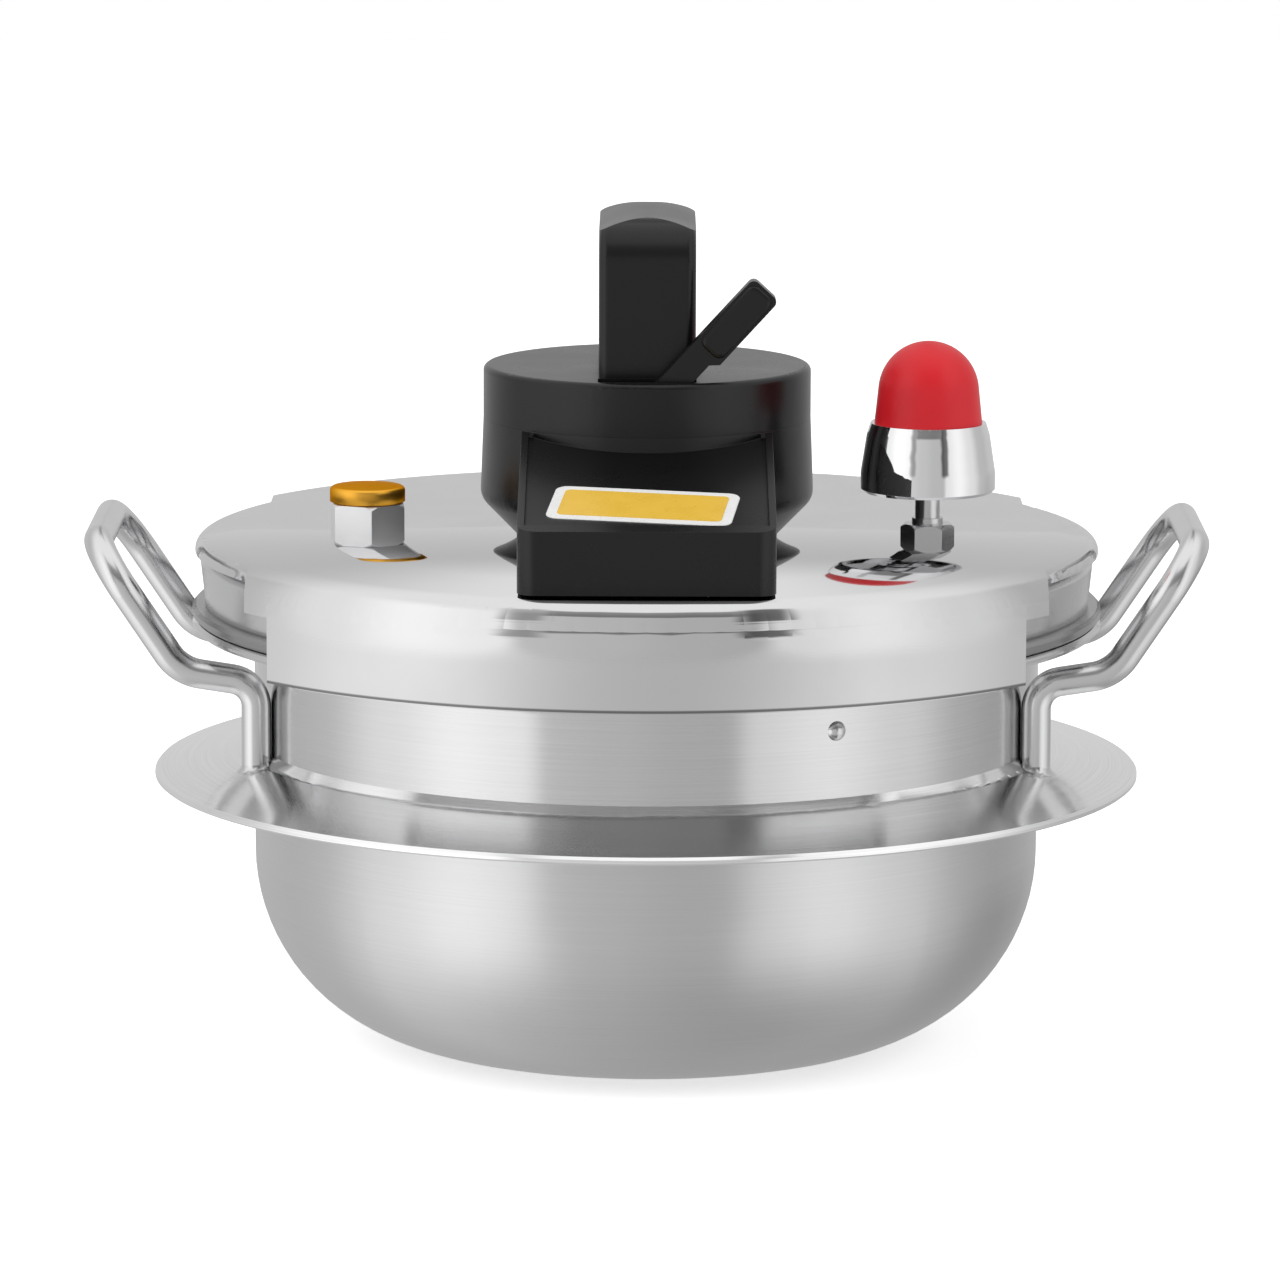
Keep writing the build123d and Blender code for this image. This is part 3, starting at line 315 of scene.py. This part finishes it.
def satin_steel(name, tint, roughness, bowl_roughness, contrast):
    """Stainless steel brushed round the cooker's axis, with another roughness below the flange."""
    shader = Shader(name)
    _, _, height = turned_place(shader)
    foot, top = [corner.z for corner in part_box("burner_flange")]
    above = shader.smooth(height, foot, top)
    lines = brushed_lines(shader, BRUSH_LINE, BRUSH_RUN)
    clouds = shader.noise(shader.place(), CLOUD_SCALE, detail=3.0)
    dark = steel_tint(tint * (1 - contrast), BRUSHED_BLUE)
    light = steel_tint(tint * (1 + contrast), BRUSHED_BLUE)
    tangent = shader.add("ShaderNodeTangent", {"direction_type": "RADIAL", "axis": "Z"})
    plain_haze = shader.mixed(above, bowl_roughness, roughness)
    haze = shader.math("ADD", plain_haze, shader.spread(clouds, low=-0.02, high=0.03))
    shader.set(
        Base_Color=shader.tint(lines, dark, light),
        Metallic=1.0,
        Anisotropic=0.6,
        Anisotropic_Rotation=0.25,
        Roughness=shader.math("ADD", shader.spread(lines, low=-0.04, high=0.04), haze),
        Tangent=tangent.outputs[0],
    )
    shader.bump(lines, strength=0.06, distance=0.02 * MM)
    return shader.material


def polished_steel(name, tint, roughness):
    """Bright stainless steel with a faint wave in its polish."""
    shader = Shader(name)
    wave = shader.noise(shader.place(), WAVE_SCALE, detail=1.0)
    haze = shader.noise(shader.place(), HAZE_SCALE, detail=4.0)
    shader.set(
        Base_Color=(*steel_tint(tint), 1.0),
        Metallic=1.0,
        Roughness=shader.spread(haze, low=roughness * 0.7, high=roughness * 1.3),
    )
    shader.bump(wave, strength=0.06, distance=0.2 * MM)
    return shader.material


def crowned_steel(name, tint, roughness):
    """Bright steel of the cover sheet, crowned a little round its middle, hazier on its skirt and with
    painted shade along its hem.
    """
    shader = Shader(name)
    clouds = shader.noise(shader.place(), HAZE_SCALE, detail=4.0)
    _, radius, height = turned_place(shader)
    bottom, top = [corner.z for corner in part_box("lid_cover")]
    flat = shader.smooth(height, top - SKIRT_FULL, top - SKIRT_START)
    haze = shader.mixed(flat, SKIRT_HAZE, roughness)
    # Painted shade: the steel's colour is darkened along the skirt's bottom hem, in place of the shadow
    # line under it.
    above_hem = shader.smooth(height, bottom + HEM_HEIGHT / 2, bottom + HEM_HEIGHT)
    shader.set(
        Base_Color=shader.tint(above_hem, (tint * HEM_PAINTED_SHADE,) * 3, steel_tint(tint)),
        Metallic=1.0,
        Roughness=shader.math("MULTIPLY", haze, shader.spread(clouds, low=0.8, high=1.2)),
    )
    shader.bump(cover_height(shader, radius), strength=1.0, distance=1.0)
    return shader.material


def cover_height(shader, radius):
    """Height of the cover sheet over its flat mesh: crown, rolled edge and a faint ripple."""
    radius = shader.math("MINIMUM", radius, EDGE_END)
    outside = shader.math("MAXIMUM", shader.math("SUBTRACT", radius, CROWN_START), 0.0)
    bent = shader.math("MINIMUM", outside, CROWN_WIDTH)
    cone = shader.math("SUBTRACT", outside, shader.math("MULTIPLY", bent, 0.5))
    crown = shader.math("MULTIPLY", shader.math("MULTIPLY", bent, cone), -1.0 / CROWN_RADIUS)
    past_edge = shader.math("MAXIMUM", shader.math("SUBTRACT", radius, EDGE_START), 0.0)
    edge = shader.math("MULTIPLY", shader.math("MULTIPLY", past_edge, past_edge), -0.5 / EDGE_RADIUS)
    wave = shader.noise(shader.place(), WAVE_SCALE, detail=1.0)
    ripple = shader.math("MULTIPLY", wave, COVER_RIPPLE)
    return shader.math("ADD", ripple, shader.math("ADD", crown, edge))


def rimmed_steel(name, tint, roughness, foot, top):
    """Bright steel with painted shade on its rolled rim between two heights."""
    shader = Shader(name)
    wave = shader.noise(shader.place(), WAVE_SCALE, detail=1.0)
    haze = shader.noise(shader.place(), HAZE_SCALE, detail=4.0)
    _, _, height = turned_place(shader)
    # Painted shade: the steel's colour is darkened over the rolled rim, in place of the shade between its
    # rolled rings and the darker reflections there.
    rim = between(shader, height, foot, top, LID_RIM_BLUR)
    shader.set(
        Base_Color=shader.tint(rim, steel_tint(tint), (tint * LID_RIM_PAINTED_SHADE,) * 3),
        Metallic=1.0,
        Roughness=shader.spread(haze, low=roughness * 0.8, high=roughness * 1.2),
    )
    shader.bump(wave, strength=0.05, distance=0.2 * MM)
    return shader.material


def moulded_black(name, roughness):
    """Satin black moulding with a fine grain."""
    shader = Shader(name)
    grain = shader.noise(shader.place(), scale=2600.0, detail=2.0)
    clouds = shader.noise(shader.place(), scale=40.0, detail=3.0)
    shader.set(
        Base_Color=shader.tint(clouds, (0.003, 0.003, 0.0034), (0.005, 0.005, 0.0055)),
        Roughness=shader.spread(clouds, low=roughness - 0.04, high=roughness + 0.06),
        Specular_IOR_Level=0.36,
    )
    shader.bump(grain, strength=0.12, distance=0.05 * MM)
    return shader.material


def red_plastic():
    """Satin red cap."""
    shader = Shader("red_plastic")
    grain = shader.noise(shader.place(), scale=1800.0, detail=2.0)
    clouds = shader.noise(shader.place(), scale=90.0, detail=3.0)
    shader.set(
        Base_Color=shader.tint(clouds, (0.52, 0.008, 0.014), (0.60, 0.012, 0.020)),
        Roughness=shader.spread(clouds, low=0.38, high=0.46),
        Specular_IOR_Level=0.35,
    )
    shader.bump(grain, strength=0.08, distance=0.05 * MM)
    return shader.material


def gold_anodised():
    """Gold cap with turned lines."""
    low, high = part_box("relief_cap")
    centre = ((low.x + high.x) / 2, (low.y + high.y) / 2)
    shader = Shader("gold_anodised")
    lines = brushed_lines(shader, line=0.25 * MM, run=0.8, centre=centre)
    shader.set(
        Base_Color=shader.tint(lines, (0.84, 0.42, 0.045), (0.95, 0.50, 0.07)),
        Metallic=1.0,
        Roughness=shader.spread(lines, low=0.32, high=0.44),
        Specular_Tint=(0.66, 0.36, 0.08, 1.0),
    )
    shader.bump(lines, strength=0.08, distance=0.02 * MM)
    return shader.material


def seal_rubber():
    """Grey silicone."""
    shader = Shader("seal_rubber")
    clouds = shader.noise(shader.place(), scale=120.0, detail=3.0)
    colour = shader.tint(clouds, (0.36, 0.36, 0.35), (0.44, 0.44, 0.43))
    shader.set(Base_Color=colour, Roughness=shader.spread(clouds, low=0.55, high=0.68))
    shader.bump(clouds, strength=0.05, distance=0.1 * MM)
    return shader.material


def label_film(name, first, second):
    """Glossy printed film."""
    shader = Shader(name)
    clouds = shader.noise(shader.place(), scale=160.0, detail=3.0)
    colour = shader.tint(clouds, first, second)
    shader.set(Base_Color=colour, Roughness=shader.spread(clouds, low=0.22, high=0.34))
    shader.bump(clouds, strength=0.04, distance=0.05 * MM)
    return shader.material


def dress(material, *names):
    """Gives CAD nodes a material."""
    for name in names:
        data = nodes[name].data
        data.materials.clear()
        data.materials.append(material)


def ease_edges(width, *names):
    """Rounds the sharp edges of CAD nodes a little, so that they catch the light."""
    for name in names:
        piece = nodes[name]
        weld = piece.modifiers.new("weld", "WELD")
        weld.merge_threshold = WELD_DISTANCE
        bevel = piece.modifiers.new("bevel", "BEVEL")
        bevel.width = width
        bevel.segments = EASE_SEGMENTS
        bevel.limit_method = "ANGLE"
        bevel.angle_limit = EASE_ANGLE
        normals = piece.modifiers.new("normals", "WEIGHTED_NORMAL")
        normals.weight = EASE_WEIGHT


def dress_all(satin, gold, inner, black):
    """Materials of every node."""
    flange = satin_steel("flange_steel", tint=0.85, roughness=0.15, bowl_roughness=0.15, contrast=0.16)
    lid_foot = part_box("lid_shell")[0].z
    rim = {"foot": lid_foot - LID_RIM_DROP, "top": lid_foot + LID_RIM_HEIGHT}
    dress(satin, "pot_body")
    dress(flange, "burner_flange")
    dress(rimmed_steel("lid_steel", tint=0.66, roughness=0.26, **rim), "lid_shell")
    dress(crowned_steel("polished_steel", tint=0.66, roughness=0.06), "lid_cover")
    dress(polished_steel("valve_steel", tint=0.86, roughness=0.50), "relief_body")
    dress(polished_steel("rod_steel", tint=0.68, roughness=0.22), "left_handle", "right_handle")
    dress(inner, "front_jaw", "rear_jaw", "front_jaw_pin", "rear_jaw_pin", "shuttle_plate", "drive_pin")
    dress(inner, "lever_pin", "mounting_studs", "stud_nuts", "grip_screws", "vent_pipe", "vent_nut")
    dress(inner, "vent_guard", "weight_needle", "relief_nut", "relief_plunger", "relief_spring")
    dress(black, "housing_base", "housing_cap", "carry_grip", "lock_lever")
    dress(polished_steel("weight_chrome", tint=0.78, roughness=0.04), "weight_shell")
    dress(red_plastic(), "weight_cap")
    dress(gold, "relief_cap")
    dress(seal_rubber(), "lid_gasket", "vent_seal", "relief_seal")


def new_piece(name, points, faces, material, body, smooth=True):
    """Mesh piece that rides on a body."""
    mesh = bpy.data.meshes.new(name)
    mesh.from_pydata(points, [], faces)
    mesh.materials.append(material)
    if smooth:
        mesh.shade_smooth()
    else:
        mesh.shade_flat()
    piece = bpy.data.objects.new(name, mesh)
    bpy.context.scene.collection.objects.link(piece)
    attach(piece, body)
    return piece


def rounded_rectangle(width, height, corner):
    """Points round a rectangle with rounded corners."""
    points = []
    for turn, (x_side, y_side) in enumerate(((1, 1), (-1, 1), (-1, -1), (1, -1))):
        for step in range(CORNER_STEPS + 1):
            angle = (turn + step / CORNER_STEPS) * pi / 2
            x = x_side * (width / 2 - corner) + corner * cos(angle)
            y = y_side * (height / 2 - corner) + corner * sin(angle)
            points.append((x, y))
    return points


def stepped_plate(outlines):
    """Points and faces of a plate through closed outlines, each with its height; the last is filled."""
    points, faces = [], []
    count = len(outlines[0][0])
    for outline, height in outlines:
        points += [Vector((x, y, height)) for x, y in outline]
    for ring in range(len(outlines) - 1):
        for step in range(count):
            following = (step + 1) % count
            low, high = ring * count, (ring + 1) * count
            faces.append((low + step, low + following, high + following, high + step))
    faces.append(tuple(range(len(points) - count, len(points))))
    return points, faces


def surface_below(node, x, y):
    """Point and normal of a CAD node's surface, straight below a high point."""
    start = Vector((x, y, PROBE_HEIGHT))
    found, point, normal, _ = nodes[node].ray_cast(start, Vector((0, 0, -1)))
    if not found:
        raise ValueError(f"{node} has no surface at {x}, {y}")
    return point, normal


def build_label():
    """Blank yellow label with a white border, stuck on the front roof a little askew."""
    point, normal = surface_below("housing_base", *LABEL_PLACE)
    across = Vector((1, 0, 0))
    up_slope = normal.cross(across)
    place = Matrix((across, up_slope, normal)).transposed().to_4x4()
    place = Matrix.Translation(point) @ place @ Matrix.Rotation(LABEL_TURN, 4, "Z")
    edge = LABEL_THICKNESS / 2
    inner = 2 * LABEL_BORDER
    outline = rounded_rectangle(LABEL_WIDTH, LABEL_HEIGHT, LABEL_CORNER)
    eased = rounded_rectangle(LABEL_WIDTH - 2 * edge, LABEL_HEIGHT - 2 * edge, LABEL_CORNER - edge)
    window = rounded_rectangle(LABEL_WIDTH - inner, LABEL_HEIGHT - inner, LABEL_CORNER / 2)
    border = [(outline, 0.0), (outline, edge), (eased, LABEL_THICKNESS)]
    panel = [(window, LABEL_THICKNESS - edge / 2), (window, LABEL_THICKNESS + edge / 2)]
    white = label_film("label_white", (0.72, 0.72, 0.72), (0.80, 0.80, 0.79))
    yellow = label_film("label_yellow", (0.70, 0.43, 0.045), (0.78, 0.50, 0.065))
    for name, outlines, material in (("label_border", border, white), ("label_panel", panel, yellow)):
        points, faces = stepped_plate(outlines)
        new_piece(name, [place @ local for local in points], faces, material, "lid", smooth=False)


def build_finger_pad(material):
    """Raised pad with eased edges on the front of the lever."""
    swing = next(joint for joint in frame["joints"] if joint["name"] == "lever_swing")
    lean = radians(swing["range_deg"][1] / 2)
    along = Vector((sin(lean), 0, cos(lean)))
    front = Vector((0, -1, 0))
    across = along.cross(front)
    middle = Vector(swing["pos_m"]) + across * PAD_PLACE[0] + along * PAD_PLACE[1]
    middle.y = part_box("lock_lever")[0].y
    place = Matrix.Translation(middle) @ Matrix((across, along, front)).transposed().to_4x4()
    outlines = []
    for inset, height in PAD_PROFILE:
        outline = rounded_rectangle(PAD_WIDTH - 2 * inset, PAD_LENGTH - 2 * inset, PAD_CORNER - inset)
        outlines.append((outline, height))
    points, faces = stepped_plate(outlines)
    points = [place @ local for local in points]
    piece = new_piece("finger_pad", points, faces, material, "lever", smooth=False)


def build_valve_cap(material):
    """Round cap of the relief valve with a rounded edge and a low crown."""
    low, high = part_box("relief_cap")
    centre = (low + high) / 2
    radius = (high.x - low.x) / 2
    shoulder = high.z - VALVE_CAP_CROWN
    profile = [(radius - VALVE_CAP_ROUND, low.z), (radius, low.z + VALVE_CAP_ROUND / 3)]
    for step in range(VALVE_CAP_ROUND_STEPS + 1):
        turn = step / VALVE_CAP_ROUND_STEPS * pi / 2
        reach = radius - VALVE_CAP_ROUND * (1 - cos(turn))
        profile.append((reach, shoulder - VALVE_CAP_ROUND * (1 - sin(turn))))
    flat = radius - VALVE_CAP_ROUND
    for step in range(1, VALVE_CAP_CROWN_STEPS):
        share = 1 - step / VALVE_CAP_CROWN_STEPS
        profile.append((flat * share, shoulder + VALVE_CAP_CROWN * (1 - share * share)))
    turns = [2 * pi * step / VALVE_CAP_STEPS for step in range(VALVE_CAP_STEPS)]
    outlines = []
    for reach, height in profile:
        circle = [(centre.x + reach * cos(turn), centre.y + reach * sin(turn)) for turn in turns]
        outlines.append((circle, height))
    piece = new_piece("valve_cap", *stepped_plate(outlines), material, "lid")
    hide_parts("relief_cap")


def build_spring(material):
    """Round-wire spring of the relief valve, at its rest length; the mesh does not shorten when the plunger
    lifts.
    """
    low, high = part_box("relief_spring")
    centre = (low + high) / 2
    wire = SPRING_WIRE / 2
    coil = (high.x - low.x) / 2 - wire
    foot, rise = low.z + wire, high.z - low.z - SPRING_WIRE
    count = SPRING_TURNS * SPRING_STEPS
    points, faces = [], []
    for step in range(count + 1):
        turn = 2 * pi * step / SPRING_STEPS
        for side in range(WIRE_STEPS):
            angle = 2 * pi * side / WIRE_STEPS
            reach = coil + wire * cos(angle)
            height = foot + rise * step / count + wire * sin(angle)
            points.append((centre.x + reach * cos(turn), centre.y + reach * sin(turn), height))
    for step in range(count):
        for side in range(WIRE_STEPS):
            following = (side + 1) % WIRE_STEPS
            near, far = step * WIRE_STEPS, (step + 1) * WIRE_STEPS
            faces.append((near + side, far + side, far + following, near + following))
    faces.append(tuple(range(WIRE_STEPS)))
    faces.append(tuple(range(count * WIRE_STEPS, (count + 1) * WIRE_STEPS))[::-1])
    piece = new_piece("valve_spring", points, faces, material, "lid")
    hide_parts("relief_spring")
    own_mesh(piece)


def bead_point(centre, angle, share):
    """Point on a weld bead, from its top on the rod to its foot on the flange."""
    turn = share * pi / 2
    spot = Vector((centre.x * WOBBLE_SCALE, centre.y * WOBBLE_SCALE, angle * WOBBLE_TURN))
    wobble = 1.0 + BEAD_WOBBLE * noise.noise(spot)
    reach = BEAD_START + BEAD_WIDTH * wobble * (1 - cos(turn))
    x, y = centre.x + reach * cos(angle), centre.y + reach * sin(angle)
    outward = max(1.0, COLLAR_RADIUS / Vector((x, y)).length)
    foot = surface_below("burner_flange", x * outward, y * outward)[0].z
    return Vector((x, y, foot - BEAD_ROOT + BEAD_HEIGHT * wobble * (1 - sin(turn))))


def build_weld_bead(name, centre, material):
    """Bead of weld round one handle leg."""
    points, faces = [], []
    for ring in range(BEAD_RINGS + 1):
        for step in range(BEAD_STEPS):
            points.append(bead_point(centre, 2 * pi * step / BEAD_STEPS, ring / BEAD_RINGS))
    for ring in range(BEAD_RINGS):
        for step in range(BEAD_STEPS):
            following = (step + 1) % BEAD_STEPS
            low, high = ring * BEAD_STEPS, (ring + 1) * BEAD_STEPS
            faces.append((low + step, high + step, high + following, low + following))
    new_piece(name, points, faces, material, "pot")


def build_weld_beads(material):
    """Weld beads of all four handle legs."""
    near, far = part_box("right_handle")
    for x_side, x_name in ((-1, "left"), (1, "right")):
        for y_side, y_name in ((-1, "front"), (1, "rear")):
            centre = Vector((x_side * (near.x + ROD_RADIUS), y_side * (far.y - ROD_RADIUS), 0))
            build_weld_bead(f"weld_bead_{x_name}_{y_name}", centre, material)


def build_floor():
    """Pale floor that shows white and keeps the shadow; reflections look through it at the studio."""
    half = FLOOR_SIZE / 2
    corners = [(-half, -half, 0), (half, -half, 0), (half, half, 0), (-half, half, 0)]
    mesh = bpy.data.meshes.new("floor")
    mesh.from_pydata(corners, [], [(0, 1, 2, 3)])
    floor = bpy.data.objects.new("floor", mesh)
    bpy.context.scene.collection.objects.link(floor)
    floor.location.z = -FLOOR_DROP
    shader = Shader("floor")
    light_path = shader.add("ShaderNodeLightPath")
    matte = shader.add("ShaderNodeBsdfDiffuse", Color=(FLOOR_TINT, FLOOR_TINT, FLOOR_TINT, 1.0))
    seen_glow = shader.math("MULTIPLY", light_path.outputs["Is Camera Ray"], FLOOR_GLOW)
    glow = shader.add("ShaderNodeEmission", Strength=seen_glow)
    lit = shader.add("ShaderNodeAddShader")
    shader.join(matte.outputs[0], lit.inputs[0])
    shader.join(glow.outputs[0], lit.inputs[1])
    clear = shader.add("ShaderNodeBsdfTransparent")
    seen = shader.add("ShaderNodeMixShader", Fac=light_path.outputs["Is Glossy Ray"])
    shader.join(lit.outputs[0], seen.inputs[1])
    shader.join(clear.outputs[0], seen.inputs[2])
    shader.join(seen.outputs[0], shader.tree.nodes["Material Output"].inputs["Surface"])
    mesh.materials.append(shader.material)


def studio_band(world, facing):
    """Brightness of the studio's upright bands."""
    share = world.add("ShaderNodeMapRange", Value=facing)
    share.inputs["From Min"].default_value = -pi / 2
    share.inputs["From Max"].default_value = pi / 2
    ramp = world.add("ShaderNodeValToRGB", Fac=share.outputs[0])
    ramp.color_ramp.interpolation = "EASE"
    brightest = max(level for _, level in STUDIO_BANDS)
    stops = ramp.color_ramp.elements
    while len(stops) < len(STUDIO_BANDS):
        stops.new(0.5)
    for stop, (facing_degrees, level) in zip(stops, STUDIO_BANDS):
        stop.position = (facing_degrees + 90) / 180
        stop.color = (level / brightest,) * 3 + (1.0,)
    return world.math("MULTIPLY", ramp.outputs[0], brightest)


def studio_gaps(world, facing, z):
    """Share of the light that the dark gaps leave in a direction."""
    share = 1.0
    for low, high, bottom, top, depth in STUDIO_GAPS:
        wide = between(world, facing, radians(low), radians(high), GAP_SIDE_BLUR)
        tall = between(world, z, bottom, top, GAP_END_BLUR)
        gap = world.math("MULTIPLY", world.math("MULTIPLY", wide, tall), depth)
        share = world.math("MULTIPLY", share, world.math("SUBTRACT", 1.0, gap))
    return share


def build_studio():
    """World with soft bright bands round the cooker, shown white to the camera."""
    scene_world = bpy.data.worlds.new("studio")
    bpy.context.scene.world = scene_world
    scene_world.use_nodes = True
    world = Nodes(scene_world.node_tree)
    direction = world.add("ShaderNodeTexCoord").outputs["Generated"]
    x, y, z = world.add("ShaderNodeSeparateXYZ", Vector=direction).outputs
    facing = world.math("ARCTAN2", x, world.math("SUBTRACT", 1.0, y))
    below = world.math("SUBTRACT", STUDIO_BELOW, world.math("MULTIPLY", x, BELOW_TILT))
    behind_low = world.math("SUBTRACT", STUDIO_BEHIND_LOW, world.math("MULTIPLY", x, BEHIND_TILT))
    behind = world.mixed(world.smooth(z, *BEHIND_LOW_FADE), behind_low, STUDIO_BEHIND)
    level = world.mixed(world.smooth(y, *BEHIND_FADE), studio_band(world, facing), behind)
    level = world.mixed(world.smooth(z, *ABOVE_FADE), level, STUDIO_ABOVE)
    level = world.mixed(world.smooth(world.math("MULTIPLY", z, -1.0), *BELOW_FADE), level, below)
    level = world.math("MULTIPLY", level, studio_gaps(world, facing, z))
    light_path = world.add("ShaderNodeLightPath")
    seen = world.mixed(light_path.outputs["Is Camera Ray"], level, 1.0)
    background = world.tree.nodes["Background"]
    world.join(seen, background.inputs["Strength"])
    background.inputs["Color"].default_value = (1.0, 1.0, 1.0, 1.0)


def add_softbox(name, place, power):
    """Large soft lamp turned toward the cooker."""
    lamp = bpy.data.lights.new(name, "AREA")
    lamp.shape = "RECTANGLE"
    lamp.size, lamp.size_y = SOFTBOX_SIZE
    lamp.energy = power
    softbox = bpy.data.objects.new(name, lamp)
    bpy.context.scene.collection.objects.link(softbox)
    softbox.location = place
    aim = Vector(SOFTBOX_TARGET) - Vector(place)
    softbox.rotation_euler = aim.to_track_quat("-Z", "Y").to_euler()
    softbox.visible_glossy = False


def build_camera():
    """Camera at the photograph's angle."""
    lens = bpy.data.cameras.new("camera")
    lens.sensor_width = SENSOR_WIDTH
    lens.lens = FOCAL_PIXELS / PHOTO_PIXELS * SENSOR_WIDTH
    lens.clip_end = CAMERA_REACH
    camera = bpy.data.objects.new("camera", lens)
    bpy.context.scene.collection.objects.link(camera)
    turn = Matrix.Rotation(CAMERA_YAW, 4, "Z") @ Matrix.Rotation(pi / 2 - CAMERA_PITCH, 4, "X")
    camera.matrix_world = Matrix.Translation(CAMERA_PLACE) @ turn @ Matrix.Rotation(CAMERA_ROLL, 4, "Z")
    bpy.context.scene.camera = camera


satin = satin_steel("satin_steel", tint=0.64, roughness=0.18, bowl_roughness=0.29, contrast=0.07)
gold = gold_anodised()
inner = polished_steel("inner_steel", tint=0.60, roughness=0.20)
black = moulded_black("black_bakelite", roughness=0.27)
dress_all(satin, gold, inner, black)
build_label()
build_finger_pad(black)
build_valve_cap(gold)
build_spring(inner)
build_weld_beads(satin)
ease_edges(LEVER_EASE, "lock_lever")
ease_edges(OTHER_EASE, "burner_flange", "lid_cover", "housing_base", "housing_cap")
ease_edges(OTHER_EASE, "relief_body", "vent_nut", "weight_shell")
build_floor()
build_studio()
for softbox in SOFTBOXES:
    add_softbox(*softbox)
build_camera()
bpy.context.scene.view_settings.view_transform = "Standard"
